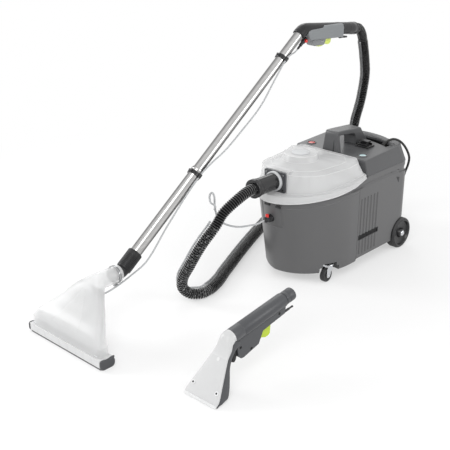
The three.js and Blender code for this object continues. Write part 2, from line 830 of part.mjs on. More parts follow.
function portPlate() {
  const front = portBossY - gap - portPlateThick;
  const body = block(-portPlateWidth / 2, portPlateWidth / 2, front, portBossY - gap,
    portPlateTopZ - portPlateHeight, portPlateTopZ);
  return cut(body, rod(vec(0, front - 10, portZ), vec(0, portBossY + 10, portZ), connectorRadius + gap));
}

/** Domed head of one screw, standing on a face. */
const screwHeadAt = (at, direction, radius = screwRadius) => turnedAlong(
  [[0, 0], [radius, 0], [radius, screwHead / 2], [radius / 2, screwHead], [0, screwHead]], at, direction,
    smallSides);

const plateFaceY = portBossY - gap - portPlateThick;

function portRing() {
  const r = connectorRadius + gap;
  return turnedAlong([[r, 0], [portRingRadius, 0], [portRingRadius, portRingThick / 2],
    [portRingRadius - 2, portRingThick],
    [r, portRingThick], [r, 0]], vec(0, plateFaceY - gap, portZ), vec(0, -1, 0));
}

/** Rigid end of the suction hose, plugged into the lid; its mouth takes the hose. */
function hoseConnector() {
  const start = portBossY + connectorInside;
  const length = start - connectorEndY;
  const mouth = hoseRadius + 1.6;
  return turnedAlong([
    [connectorRadius - 5, 0], [connectorRadius, 0], [connectorRadius, length - flareLength - 4],
      [flareRadius, length - flareLength],
    [flareRadius, length], [mouth, length], [mouth, length - hoseSocket], [0, length - hoseSocket],
    [0, length - hoseSocket - 8], [connectorRadius - 5, length - hoseSocket - 12], [connectorRadius - 5, 0],
  ], vec(0, start, portZ), vec(0, -1, 0));
}

/** Perforated basket under the dome that guides the float. */
function floatCage() {
  const top = knobTopZ - lidWall - gap;
  const basket = ring(cageRadius - cageWall, cageRadius, cageLowZ, top);
  const floor = ring(cageRadius - 12, cageRadius, cageLowZ - cageWall, cageLowZ);
  const windowHigh = cageLowZ + 62;
  const windows = [block(-cageRadius * 2, cageRadius * 2, -cageWindow / 2, cageWindow / 2, cageLowZ + 8,
    windowHigh),
    block(-cageWindow / 2, cageWindow / 2, -cageRadius * 2, cageRadius * 2, cageLowZ + 8, windowHigh)];
  return cut(joined(basket, floor), ...windows).translate(0, domeY, 0);
}

function floatDisc() {
  const r = floatRadius;
  const h = floatHeight;
  return turned([[0, 0], [r - 3, 0], [r, 4], [r, h - 4], [r - 3, h], [0, h]])
    .translate(0, domeY, cageLowZ + gap);
}

// ---------------------------------------------------------------- machine: top cover, handle, bracket

const coverZ = (y) => lerp(coverFrontZ, coverRearZ, (y - coverFrontY) / (coverRearHighY - coverFrontY));

function coverLoop(inset, half, rearY, z) {
  const loop = [];
  const r = half - inset;
  const small = 3;
  const corners = [
    [r, coverFrontY + inset, 0, -1], [r, rearY - inset, 1, 0], [-r, rearY - inset, 1, 1],
      [-r, coverFrontY + inset, 0, 2],
  ];
  for (const [x, y, isRear, turn] of corners) {
    const round = isRear ? coverCorner - inset : small;
    const cx = x - Math.sign(x) * round;
    const cy = isRear ? y - round : y + round;
    for (let i = 0; i <= cornerSteps; i += 1) {
      const a = (Math.PI / 2) * (turn + i / cornerSteps);
      const p = vec(cx + round * Math.cos(a), cy + round * Math.sin(a), 0);
      p.z = typeof z === 'function' ? z(p.y) : z;
      loop.push(p);
    }
  }
  return loop;
}

/** Lines of the stowage recess and of the rim behind it, as Y over X. */
const rimOuterY = (x) => coverRearHighY - 3 - 42 * Math.abs(x / rimHalf) ** 3;
const stowBack = (x) => stowBackY - 30 * Math.abs(x / rimHalf) ** 2;
const rimHeight = (x) => rimTopZ - 9 * Math.abs(x / rimHalf) ** 2;

function rearRim() {
  const loops = [];
  const stations = 10;
  for (let i = 0; i <= stations; i += 1) {
    const x = lerp(-rimHalf, rimHalf, i / stations);
    const [y0, y1, top] = [stowBack(x) + 0.01, rimOuterY(x), rimHeight(x)];
    const low = pocketFloorZ - 2;
    loops.push([vec(x, y0, low), vec(x, y1, low), vec(x, y1, top - 8), vec(x, lerp(y0, y1, 0.6), top),
      vec(x, y0 + 2, top - 3)]);
  }
  return loft(loops);
}

function stowPrism(grow, low, high) {
  const points = [];
  const stations = 8;
  const half = stowHalf + grow;
  for (let i = 0; i <= stations; i += 1) {
    const x = lerp(-half, half, i / stations);
    points.push([x, stowBack(x) + grow]);
  }
  for (let i = stations; i >= 0; i -= 1) {
    const x = lerp(-half, half, i / stations);
    points.push([x, stowFrontY - 24 * (x / half) ** 2 - grow]);
  }
  const shape = new THREE.Shape(points.map(([x, y]) => new THREE.Vector2(x, y)));
  return new THREE.ExtrudeGeometry(shape, { depth: high - low, bevelEnabled: false }).translate(0, 0, low);
}

function topCover() {
  const w = coverWall;
  const outer = loft([
    coverLoop(0, coverHalfLow, coverRearLowY, seamZ),
    coverLoop(0, coverHalfHigh + 1, coverRearHighY + 1, (y) => coverZ(y) - 3),
    coverLoop(3, coverHalfHigh + 1, coverRearHighY + 1, coverZ),
  ]);
  const inner = loft([
    coverLoop(w, coverHalfLow, coverRearLowY, seamZ - 1),
    coverLoop(w, coverHalfHigh + 1, coverRearHighY + 1, (y) => coverZ(y) - 3 - w),
    coverLoop(w + 3, coverHalfHigh + 1, coverRearHighY + 1, (y) => coverZ(y) - w),
  ]);
  const collars = mirrored((side) => rod(vec(side * switchX, switchY, coverFrontZ - switchDepth - 4),
    vec(side * switchX, switchY, coverFrontZ + switchCollarHeight), switchCollar));
  const wells = mirrored((side) => rod(vec(side * switchX, switchY, coverFrontZ - switchDepth),
    vec(side * switchX, switchY, coverFrontZ + 20), switchRadius + gap));
  const tray = stowPrism(w, pocketFloorZ - w, coverRearZ - 2);
  const recess = stowPrism(0, pocketFloorZ, rimTopZ + 20);
  return cut(joined(cut(outer, inner), ...collars, tray, rearRim()), recess, ...wells);
}

function switchCap(side) {
  const h = switchDepth + switchCollarHeight - switchTravel - gap;
  const r = switchRadius;
  return turned([[0, 0], [r, 0], [r, h - 2], [r - 3, h], [0, h]])
    .translate(side * switchX, switchY, coverFrontZ - switchDepth + switchTravel + gap);
}

function carryHandle() {
  const foot = (y) => coverZ(y) + gap;
  const postBack = handleFrontY + handlePost;
  const arch = sidePlate([
    [handleFrontY, foot(handleFrontY)], [handleFrontY, handleTopFrontZ - 7],
      [handleFrontY + 6, handleTopFrontZ],
    [handleRearTopY - 8, handleTopRearZ + 1], [handleRearTopY, handleTopRearZ - 4],
      [handleRearFootY, foot(handleRearFootY) + 8],
    [handleRearFootY, foot(handleRearFootY)], [handleRearPostY, foot(handleRearPostY)],
    [handleRearPostY - 2, handleTopRearZ - handleBar], [postBack, handleTopFrontZ - handleBar],
      [postBack, foot(postBack)],
  ], handleHalf);
  const [y0, y1] = [handleFrontY, postBack];
  const flareTop = handleTopFrontZ - 8;
  const flare = loft([
    [vec(-handleFootHalf, y0, foot(y0)), vec(handleFootHalf, y0, foot(y0)),
      vec(handleFootHalf, y1, foot(y1)), vec(-handleFootHalf, y1, foot(y1))],
    [vec(-handleHalf, y0, flareTop), vec(handleHalf, y0, flareTop), vec(handleHalf, y1, flareTop),
      vec(-handleHalf, y1, flareTop)],
  ]);
  const slot = block(13, 13 + handleSlot, y0 - 5, y0 + 4, foot(y0) - 5, foot(y0) + 36);
  return cut(joined(arch, flare), slot);
}

function accessoryBracket() {
  const low = coverZ(bracketY + bracketDepth / 2) + gap;
  const [hx, hy] = [bracketWidth / 2, bracketDepth / 2];
  const base = block(bracketX - hx, bracketX + hx, bracketY - hy, bracketY + hy, low, low + bracketThick);
  const b = bracketBlock / 2;
  const top = low + bracketThick + bracketBlockHeight;
  const post = block(bracketX - b, bracketX + b, bracketY - b + 4, bracketY + b - 4,
    low + bracketThick - 1, top);
  const brow = block(bracketX - b - 5, bracketX + b + 5, bracketY - b + 2, bracketY + b - 2, top - 5, top);
  return joined(base, post, brow);
}

// ---------------------------------------------------------------- machine: motor bay

function vacuumMotor() {
  const r = motorRadius;
  const [low, high] = [motorFootZ, motorTopZ];
  return turned([
    [0, low], [r - 8, low], [r - 8, low + 60], [r, low + 66], [r, high], [fanChamberRadius, high],
    [fanChamberRadius, high - fanChamberDepth], [shaftRadius + runningGap, high - fanChamberDepth],
    [shaftRadius + runningGap, low + 40], [0, low + 40],
  ], 28).translate(motorX, motorY, 0);
}

function turbineRotor() {
  const high = motorTopZ - 5;
  const low = high - fanThick;
  return turned([
    [0, motorFootZ + 40 + runningGap], [shaftRadius, motorFootZ + 40 + runningGap], [shaftRadius, low],
      [fanRadius, low + 3],
    [fanRadius, high - 5], [14, high], [0, high],
  ]).translate(motorX, motorY, 0);
}

function sprayPump() {
  const low = sideBottomZ + hullWall + gap;
  const r = pumpRadius;
  return turned([
    [0, low], [r, low], [r, low + pumpHeight * 0.55], [r - 8, low + pumpHeight * 0.6],
      [r - 8, low + pumpHeight - 12],
    [6, low + pumpHeight - 10], [6, low + pumpHeight], [0, low + pumpHeight],
  ], smallSides * 2).translate(pumpX, pumpY, 0);
}

// ---------------------------------------------------------------- hoses and lead

/** Route of the lead: up from its gland, over the rear rim and down behind the left corner. */
const leadRoute = [
  [92, 187, 366.4], [92, 187, 370], [95, 191, 378], [103, 201, 387], [114, 214, 391], [126, 228, 385],
    [138, 244, 367],
  [147, 258, 340], [147, 269, 318], [139, 278, 290], [127, 285, 262], [108, 291, 200], [93, 296, 130],
  [80, 300, 60], [70, 305, 22], [58, 313, 7], [40, 329, 4.3], [15.2, 350, 4.3],
];

/** Route of the suction hose: from the lid to the middle of its run beside the machine, then to the grip. */
const hoseFrontRoute = [
  [0, -364.4, 341], [0, -378, 341], [-1, -398, 339], [-5, -436, 325], [-18, -487, 291], [-25, -512, 257],
    [-52, -550, 193],
  [-76, -576, 129], [-97, -585, 83], [-103, -579, 47], [-92, -558, 24], [-76, -528, 18.4], [-76, -487, 18.4],
  [-94, -430, 18.4], [-124, -368, 18.4], [-147, -318, 18.4], [-193, -218, 18.4], [-240, -110, 18.4],
  [-297, 30, 18.4], [-305, 50, 18.4],
];
const hoseRearRoute = [
  [-305.2, 50.5, 18.4], [-313, 70, 18.4], [-325, 120, 18.4], [-322, 215, 27], [-300, 290, 62],
    [-268, 350, 130],
  [-238, 392, 205], [-212, 420, 275], [-196, 425.5, 329], [-186, 420.5, 366], [-176, 418.5, 401],
    [-166, 416, 437],
  [-156, 412.5, 487], [-149, 409, 543], [-138, 379.5, 620], [-136.5, 367, 657], [-136, 354, 694],
    [-136, 332, 717],
  [-136, 304.5, 722.8],
];

/** The sleeve that carries the spray hose along the suction hose lies on its outer side. */
const sleeveFrontSide = vec(-0.75, -0.1, 0.65);
const sleeveRearSide = vec(0.15, -0.95, 0.2);
const sleeveReach = hoseRadius + sleeveRadius / 3;

function besideHose(route, side, first, last) {
  const curve = new THREE.CatmullRomCurve3(route.map((p) => vec(...p)));
  const count = 24;
  const points = [];
  for (let i = 0; i <= count; i += 1) {
    const t = lerp(first, last, i / count);
    const along = curve.getTangent(t);
    const out = side.clone().addScaledVector(along, -side.dot(along)).normalize();
    points.push(curve.getPoint(t).addScaledVector(out, sleeveReach).toArray());
  }
  return points;
}

const sleeveFrontRoute = besideHose(hoseFrontRoute, sleeveFrontSide, 0.223, 1);
const sleeveRearRoute = besideHose(hoseRearRoute, sleeveRearSide, 0.03, 0.92);

const hoseLength = (route, sleeve, steps) => joined(swept(route, hoseRadius, steps),
  swept(sleeve, sleeveRadius, steps, 6));

/** Spray hose: from the machine's coupling, round a small loop and into the sleeve. */
const sprayRoute = [
  [0, couplingTipY - gap, couplingZ], [0, couplingTipY - 4, couplingZ], [-8, -342, 215],
    [-24, -362, 211], [-40, -395, 212], [-60, -425, 222],
  [-68, -452, 245], [-63, -474, 280], [-62, -479, 305], [-63, -480, 331], [-70, -481, 341], [-77, -483, 334],
  [-76, -486, 320], [-68, -489, 311], [-59, -490, 309.5], [-51, -490.5, 308.5], [-46, -493.4, 303.2],
    [-46.4, -497.6, 296],
];

function cableGland() {
  const r = glandRadius;
  return turned([[0, 0], [r, 0], [r, 4], [leadRadius + 2, 6], [leadRadius + 1.5, glandHeight - gap],
    [0, glandHeight - gap]], smallSides)
    .translate(glandX, glandY, pocketFloorZ + gap);
}

const leadCoil = () => ring(coilMeanRadius - coilSection / 2, coilMeanRadius + coilSection / 2, 0,
  coilSection, 32)
  .translate(coilX, coilY, 0);

/** Two-pin plug on the floor behind the machine, in line with the last turn of the coil. */
function mainsPlug() {
  const r = plugRadius;
  const coilOuter = coilMeanRadius + coilSection / 2;
  const lastTurn = coilOuter - leadRadius;
  const plugNeckRadius = leadRadius + 1;
  const start = vec(coilX - Math.sqrt(coilOuter ** 2 - (lastTurn - plugNeckRadius) ** 2) - gap,
    coilY + lastTurn, r);
  const face = plugNeck + plugBody;
  const body = turnedAlong([[0, 0], [plugNeckRadius, 0], [leadRadius + 3, plugNeck],
    [r - 2, plugNeck + 6], [r, plugNeck + 14],
    [r, face - 3], [r - 2, face], [0, face]], start, vec(-1, 0, 0), 16);
  const pins = mirrored((side) => {
    const foot = start.clone().add(vec(1 - face, side * plugPinPitch / 2, 0));
    return rod(foot, foot.clone().add(vec(-plugPin - 1, 0, 0)), plugPinRadius, plugPinRadius, 8);
  });
  return joined(body, ...pins);
}

// ---------------------------------------------------------------- wand: shaft

const tilt = rad(shaftTilt);
const shaftAt = (along) => vec(0, shaftY + along * Math.cos(tilt), shaftZ + along * Math.sin(tilt));
const upperTubeRadius = lowerTubeRadius - tubeWall - gap;

/** A straight tube, open at both ends. */
function pipe(from, to, outer, inner, sides = roundSides) {
  const along = to.clone().sub(from);
  const length = along.length();
  return turnedAlong([[inner, 0], [outer, 0], [outer, length], [inner, length], [inner, 0]], from, along,
    sides);
}

/** Clamp round the tube with an eye at its side for the spray hose. */
function tubeClip(along, tubeRadius) {
  const from = shaftAt(along - clipWidth / 2);
  const to = shaftAt(along + clipWidth / 2);
  const outer = tubeRadius + gap + clipThick;
  const eye = vec(outer + wandHoseRadius, 0, 0);
  const way = to.clone().sub(from).normalize();
  const band = rod(from, to, outer);
  const lug = rod(from.clone().add(eye), to.clone().add(eye), wandHoseRadius + eyeGap + 2.3,
    wandHoseRadius + eyeGap + 2.3, smallSides);
  const bore = (offset, r) => rod(from.clone().add(offset).addScaledVector(way, -20),
    to.clone().add(offset).addScaledVector(way, 20), r);
  return cut(joined(band, lug), bore(vec(0, 0, 0), tubeRadius + gap), bore(eye, wandHoseRadius + eyeGap));
}

/** Bend between the nozzle's neck and the shaft, ending in the cuff that takes the lower tube. */
function wandCuff() {
  const cuffFoot = shaftAt(-cuffLength);
  const bend = [
    [0, neckY - neckDepth, neckZ], [0, neckY, neckZ], [0, lerp(neckY, cuffFoot.y, 0.5), neckZ + 1],
      cuffFoot.toArray(),
    shaftAt(-cuffSocket).toArray(),
  ];
  const outer = swept(bend, elbowRadius, 8, bendSides);
  const inner = swept([[0, neckY - neckDepth - 5, neckZ], ...bend], elbowRadius - elbowWall, 8, bendSides);
  const cuff = rod(cuffFoot, shaftAt(0), cuffRadius);
  const socket = rod(shaftAt(-cuffSocket), shaftAt(10), lowerTubeRadius + gap);
  return cut(joined(outer, cuff), inner, socket);
}

// ---------------------------------------------------------------- wand: floor nozzle

/** Closed section of 28 points across the nozzle, its depth along a tilted direction. */
function nozzleSection(half, depth, y, z, lean, squareness = 0.35) {
  const loop = [];
  const count = 28;
  for (let i = 0; i < count; i += 1) {
    const a = (2 * Math.PI * i) / count;
    const [c, n] = [Math.cos(a), Math.sin(a)];
    const x = half * Math.sign(c) * Math.abs(c) ** squareness;
    const d = depth * Math.sign(n) * Math.abs(n) ** squareness;
    loop.push(vec(x, y + d * Math.cos(lean), z - d * Math.sin(lean)));
  }
  return loop;
}

/** Middle line of the fan: half width, half depth, Y, Z, lean of its depth and squareness, foot to neck. */
const fanStations = [
  [fanHalf, 20, 15, lipBarHighZ + gap, 0, 0.25],
  [fanHalf, 20, 15, 58, 0, 0.25],
  [fanHalf - 12, 19.5, 24, 72, 0.45, 0.3],
  [119, 19.5, 42, 88, 0.676, 0.4],
  [88, 20, 69, 119, 0.676, 0.5],
  [56, 21.5, 96, 150, 0.8, 0.6],
  [34, 24, 119, 163, 1.15, 0.8],
  [neckRadius, neckRadius, 142, neckZ, Math.PI / 2, 1],
  [neckRadius, neckRadius, neckY, neckZ, Math.PI / 2, 1],
];

function floorNozzle() {
  const outer = loft(fanStations.map((station) => nozzleSection(...station)));
  const neckWall = neckRadius - elbowRadius - gap;
  const inside = fanStations.map(([half, depth, y, z, lean, square], i) => {
    const wall = i < fanStations.length - 2 ? fanWall : neckWall;
    return nozzleSection(half - wall, depth - wall, y, z, lean, square);
  });
  const below = inside[0].map((p) => p.clone().setZ(p.z - 10));
  const beyond = inside[inside.length - 1].map((p) => p.clone().setY(p.y + 10));
  return cut(outer, loft([below, ...inside, beyond]));
}

const lipMidY = (lipFrontY + lipBackY) / 2;

function suctionLip() {
  const strip = block(-lipHalf, lipHalf, lipFrontY, lipBackY, 0, lipBarLowZ - gap);
  const caps = mirrored((side) => {
    const [x0, x1] = side === 1 ? [lipHalf + gap, lipHalf + lipCapWidth] : [-lipHalf - lipCapWidth,
      -lipHalf - gap];
    return block(x0, x1, lipFrontY - 1, lipBackY + 3, 0, lipBarHighZ);
  });
  const bridges = mirrored((side) => block(Math.min(side * (lipHalf - 4), side * (lipHalf + 2)),
    Math.max(side * (lipHalf - 4), side * (lipHalf + 2)), lipFrontY, lipBackY, 0, lipBarLowZ - gap));
  const slot = block(-lipSlotHalf, lipSlotHalf, lipMidY - lipSlot / 2, lipMidY + lipSlot / 2, -10, 50);
  return cut(joined(strip, ...bridges, ...caps), slot);
}

function nozzleLip() {
  const bar = block(-lipHalf, lipHalf, lipFrontY, lipBackY, lipBarLowZ, lipBarHighZ);
  const channel = block(-lipSlotHalf, lipSlotHalf, lipMidY - 14, lipMidY + 14, 0, 50);
  return cut(bar, channel);
}

/** Spray jet lying along the back of the fan, fed from above. */
const backLean = 0.676;
const jetFoot = vec(0, 64.6, 59.5);
const jetWay = vec(0, Math.sin(backLean), Math.cos(backLean));

function nozzleJet() {
  const r = jetRadius;
  return turnedAlong([
    [0, 0], [jetTip, 0], [jetTip, 10], [r, 14], [r, 24], [jetFlange, 25], [jetFlange, 33], [r, 34], [r, 46],
    [jetTip, 50], [jetTip, 59], [0, 59],
  ], jetFoot, jetWay, smallSides);
}

function hoseClamp() {
  const inner = neckRadius + gap;
  const outer = inner + clampThick;
  const [y0, y1] = [clampY - clampWidth / 2, clampY + clampWidth / 2];
  const band = rod(vec(0, y0, neckZ), vec(0, y1, neckZ), outer, outer, 28);
  const screw = block(-6, 6, y0 + 1, y1 - 1, neckZ - outer - clampScrew, neckZ - inner + 1);
  return cut(joined(band, screw), rod(vec(0, y0 - 20, neckZ), vec(0, y1 + 20, neckZ), inner, inner, 28));
}

// ---------------------------------------------------------------- wand: grip, housing, trigger

const gripRoute = [
  shaftAt(gripStart).toArray(), shaftAt(888).toArray(), shaftAt(903).toArray(), [0, 1016, 744.6],
    [0, 1034, 749.6],
  [0, 1056, 749.9], [0, 1080, 747.1], [0, gripEndY - 30, 735.0], [0, gripEndY, gripEndZ],
];
const gripWay = vec(0, 24, -2.8).normalize();
const gripEnd = vec(0, gripEndY, gripEndZ);

function wandGrip() {
  const outer = swept(gripRoute, gripRadius, gripSteps, bendSides);
  const before = shaftAt(gripStart - 10).toArray();
  const after = gripEnd.clone().addScaledVector(gripWay, 10).toArray();
  const inner = swept([before, ...gripRoute, after], gripRadius - gripBoreWall, gripSteps, smallSides);
  const socket = rod(shaftAt(gripStart - 10), shaftAt(upperTubeEnd), upperTubeRadius + gap);
  return cut(outer, inner, socket);
}

/** Space that the grip takes up, with its clearance. */
const gripSpace = () => swept(gripRoute, gripRadius + gap, gripSteps, bendSides);

/** Cuff that plugs into the grip's end; its mouth takes the hose. */
function hoseCuff() {
  const n = hoseCuffLength;
  const r = hoseCuffRadius;
  const spigot = (gripRadius - gripBoreWall) * Math.cos(Math.PI / smallSides) - 2 * gap;
  const shoulder = hoseCuffOverlap + gap;
  const mouth = hoseRadius + 1.6;
  const wide = mouth + 2.6;
  const bore = spigot - 3;
  return turnedAlong([
    [bore, 0], [spigot, 0], [spigot, shoulder], [r - 1, shoulder], [r, shoulder + 2], [r, n * 0.6],
      [wide, n * 0.75], [wide, n - 3],
    [wide - 1.5, n], [mouth, n], [mouth, n - hoseSocket], [bore, n - hoseSocket - 6], [bore, 0],
  ], gripEnd.clone().addScaledVector(gripWay, -hoseCuffOverlap), gripWay);
}

const triggerPivot = [1110, 704];

function triggerHousing() {
  const body = sidePlate([
    [1044, 740], [1060, 698], [1070, 694], [1119, 692], [1132, 716], [1213, 703], [1219, 728], [1219, 740],
  ], housingHalf);
  const saddle = sidePlate([[1052, 728], [1058, 721], [1217, 705], [1219, 735], [1052, 752]], saddleHalf);
  const nipple = rod(vec(0, 1206, 706.5), vec(0, 1247, 701.5), nippleRadius, nippleRadius, smallSides);
  const [py, pz] = triggerPivot;
  const slack = 0.6;
  const half = triggerHalf + slack;
  const cavity = sidePlate([[1088, 680], [1088, 718], [1126, 728], [1172, 723], [1172, 680]], half);
  const pinHole = rod(vec(-housingHalf + 2, py, pz), vec(housingHalf - 2, py, pz),
    triggerPin + runningGap, triggerPin + runningGap, smallSides);
  return cut(joined(body, saddle, nipple), gripSpace(), cavity, pinHole, couplerSpace());
}

function wandTrigger() {
  const [py, pz] = triggerPivot;
  const lever = sidePlate([
    [1100, 709], [1094, 690], [1097, 687.5], [1119, 687.5], [1130, 695], [1147, 688.5], [1160, 690],
      [1165, 695],
    [1167, 709], [1133, 714.5], [1119, 712],
  ], triggerHalf);
  const pin = rod(vec(-housingHalf + 2.4, py, pz), vec(housingHalf - 2.4, py, pz), triggerPin, triggerPin,
    smallSides);
  return joined(lever, pin);
}

/** Quick coupling in front of the housing, where the wand's own spray hose starts. */
const couplerFrom = vec(0, 1046, 731);
const couplerTo = vec(0, 1008, 703);
const couplerButton = vec(0, 1026, 716.3);
const couplerSeat = 4;
const couplerSpace = () => rod(couplerFrom, couplerTo, couplerRadius + gap, couplerRadius + gap, 16);

function wandCoupling() {
  const way = couplerTo.clone().sub(couplerFrom);
  const n = way.length();
  const body = turnedAlong([[0, 0], [couplerRadius, 0], [couplerRadius, n - 6], [couplerTip, n - 2],
    [couplerTip, n + 12],
    [wandHoseRadius + 1, n + 16], [0, n + 16]], couplerFrom, way, 16);
  const seat = rod(couplerButton.clone().setX(couplerSeat), couplerButton.clone().setX(40),
    buttonRadius + gap, buttonRadius + gap, smallSides);
  return cut(body, gripSpace(), seat);
}

/** Spray hose of the wand: from the coupling through both clips to the jet. */
const wandHoseRoute = [
  [0, 994.4, 692.9], [0.6, 990, 689.7], [6, 974, 684], [14, 955, 685], [20.5, 936, 689], [22.3, 919.3, 681.2],
  [22.3, 903.1, 669.4], [22.3, 860, 624], [23, 788, 547], [24, 700, 487], [24, 623, 440], [24, 565, 415],
  [24, 524.5, 394.3], [24, 508.3, 382.6], [24, 470, 353], [24, 377, 268], [18, 292, 176], [12, 240, 150],
  [10.5, 187, 134], [5, 150, 124], [1.5, 118, 121], [0, 101.9, 106],
];

// ---------------------------------------------------------------- upholstery tool

const handAxis = vec(0, Math.cos(rad(handTubeTilt)), Math.sin(rad(handTubeTilt)));
const handAt = (along) => vec(0, handTubeY, handTubeZ).addScaledVector(handAxis, along);
const handTubeSpace = () => rod(handAt(-4), handAt(handTubeLength + 30), handTubeRadius + gap);

/** Stations up the tool's face: distance up the slope, half width, face thickness, depth of the body. */
const handSlope = vec(0, 0.602, 0.799);
const handInward = vec(0, 0.799, -0.602);
const handLift = 5;
const handStations = [
  [0, handLipHalf, 4, 8.3], [14, handLipHalf, handPanelThick, 19], [34, 51, handPanelThick, 29],
    [80, 38, handPanelThick, 27],
  [125, 26, handPanelThick, 25], [150, handNeckHalf, handPanelThick, 30],
    [172, handNeckHalf, handPanelThick, 38],
];

/** Rounded four-sided section of the tool between two depths behind its face. */
function handSection([up, half], near, far, trim = 0) {
  const at = vec(0, 0, handLift).addScaledVector(handSlope, up);
  const r = Math.min(3, (far - near) / 2 - 0.1);
  const points = [];
  for (const [sx, deep, a0] of [[1, false, -1], [1, true, 0], [-1, true, 1], [-1, false, 2]]) {
    const cx = sx * (half - trim - r);
    const cd = deep ? far - r : near + r;
    for (let i = 0; i <= 2; i += 1) {
      const a = (Math.PI / 2) * (a0 + i / 2);
      const p = at.clone().addScaledVector(handInward, cd + r * Math.sin(a));
      points.push(p.setX(cx + r * Math.cos(a)));
    }
  }
  return points;
}

const handLoft = (near, far, trim = 0, stations = handStations) => loft(
  stations.map((station) => handSection(station, near(station), far(station), trim)));

/** The stations with one more below the lip, so that a hollow opens there. */
const openStations = [[-6, handLipHalf, 4, 8.3], ...handStations.slice(0, -1)];

function handNozzle() {
  const face = handLoft(() => 0, ([, , thick]) => thick);
  const hollow = handLoft(() => handWall, ([, , thick]) => thick + 6, handWall, openStations);
  return cut(face, hollow, handTubeSpace());
}

function handShell() {
  const body = handLoft(([, , thick]) => thick + gap, ([, , , deep]) => deep);
  const hollow = handLoft(([, , thick]) => thick - 6, ([, , , deep]) => deep - handWall, handWall,
    openStations);
  return cut(body, hollow, handTubeSpace());
}

/** Space of the tool's body, with its clearance. */
const handBodySpace = () => handLoft(() => -4, ([, , , deep]) => deep + gap);

function handTube() {
  const end = handTubeLength + handSpigotLength;
  const profile = [
    [handTubeBore, 0], [handTubeRadius, 0], [handTubeRadius, handTubeLength],
      [handSpigotRadius - 1.5, handTubeLength],
    [handSpigotRadius - 1.5, handTubeLength + 3], [handSpigotRadius, handTubeLength + 3],
      [handSpigotRadius, end],
    [handTubeBore, end], [handTubeBore, 0],
  ];
  return turnedAlong(profile, handAt(0), handAxis);
}

const handPivot = [206, 96];

function handHousing() {
  const body = sidePlate([
    [124, 132], [128, 88], [140, 69], [150, 68], [209, 83], [226, 116], [315, 132], [320, 160],
      [220, 150], [128, 138],
  ], handHousingHalf);
  const coupling = rod(vec(0, 134, 112), vec(0, 122, 62), couplerRadius, couplerTip + 1, smallSides);
  const nipple = rod(handAt(180).add(vec(0, 0, -26)), handAt(222).add(vec(0, 0, -26)), nippleRadius,
    nippleRadius, smallSides);
  const half = triggerHalf + 0.6;
  const cavity = sidePlate([[197, 60], [192, 104], [222, 128], [268, 132], [268, 60]], half);
  const [py, pz] = handPivot;
  const pinHole = rod(vec(-handHousingHalf + 2, py, pz), vec(handHousingHalf - 2, py, pz),
    triggerPin + runningGap, triggerPin + runningGap, smallSides);
  return cut(joined(body, coupling, nipple), handTubeSpace(), cavity, pinHole, handBodySpace());
}

function handTrigger() {
  const [py, pz] = handPivot;
  const lever = sidePlate([
    [199, 100], [202, 84], [209, 80.5], [227, 97], [243, 92], [256, 94], [259, 98], [260, 116],
      [226, 117], [214, 108],
  ], triggerHalf);
  const pin = rod(vec(-handHousingHalf + 2.4, py, pz), vec(handHousingHalf - 2.4, py, pz), triggerPin,
    triggerPin, smallSides);
  return joined(lever, pin);
}

// ---------------------------------------------------------------- build: machine

const machine = unit(pieces, machineX, machineY);
piece(machine, 'tank_housing', tankHousing(), greyBody);
piece(machine, 'machine_coupling', machineCoupling(), blackPlastic);
piece(machine, 'machine_coupling_button', pushButton(
  vec(0, buttonY, buttonSeatZ + gap + buttonTravel), vec(0, 0, 1), buttonRadius, buttonHeight), redPlastic);
piece(machine, 'rear_axle', rearAxle(), chrome);
for (const [side, name, casterX] of [[1, 'left', casterLeftX], [-1, 'right', casterRightX]]) {
  piece(machine, `side_vent_${name}`, sideVent(side), blackPlastic);
  piece(machine, `rear_wheel_${name}`, rearWheel(side), rubberBlack);
  piece(machine, `caster_fork_${name}`, casterFork(casterX), chrome);
  piece(machine, `caster_wheel_${name}`, casterWheel(casterX), rubberBlack);
}
piece(machine, 'dirty_tank', dirtyTank(), tubWhite);
piece(machine, 'lid', lid(), clearPlastic);
piece(machine, 'port_plate', portPlate(), darkBody);
for (const [sx, sz, name] of [[1, 1, 'upper_left'], [-1, 1, 'upper_right'], [1, -1, 'lower_left'],
  [-1, -1, 'lower_right']]) {
  const at = vec(sx * (portPlateWidth / 2 - screwInset), plateFaceY - gap,
    portPlateMidZ + sz * (portPlateHeight / 2 - screwInset));
  piece(machine, `port_screw_${name}`, screwHeadAt(at, vec(0, -1, 0)), steel);
}
piece(machine, 'port_ring', portRing(), paleGrey);
piece(machine, 'hose_connector', hoseConnector(), blackPlastic);
piece(machine, 'float_cage', floatCage(), tubWhite);
piece(machine, 'float_disc', floatDisc(), redPlastic);
piece(machine, 'top_cover', topCover(), darkBody);
piece(machine, 'vacuum_switch', switchCap(1), greenCap);
piece(machine, 'spray_switch', switchCap(-1), redPlastic);
piece(machine, 'carry_handle', carryHandle(), darkBody);
piece(machine, 'accessory_bracket', accessoryBracket(), blackPlastic);
piece(machine, 'vacuum_motor', vacuumMotor(), slatePlastic);
piece(machine, 'turbine_rotor', turbineRotor(), steel);
piece(machine, 'spray_pump', sprayPump(), slatePlastic);

piece(machine, 'cable_gland', cableGland(), rubberBlack);
piece(machine, 'mains_cord', swept(leadRoute, leadRadius, 38), rubberBlack);
piece(machine, 'mains_coil', leadCoil(), rubberBlack);
piece(machine, 'mains_plug', mainsPlug(), rubberBlack);
piece(machine, 'suction_hose_front', hoseLength(hoseFrontRoute, sleeveFrontRoute, 32), rubberBlack);
piece(machine, 'suction_hose_rear', hoseLength(hoseRearRoute, sleeveRearRoute, 24), rubberBlack);
piece(machine, 'spray_hose', swept(sprayRoute, sprayRadius, 34), clearPlastic);

// ---------------------------------------------------------------- build: wand

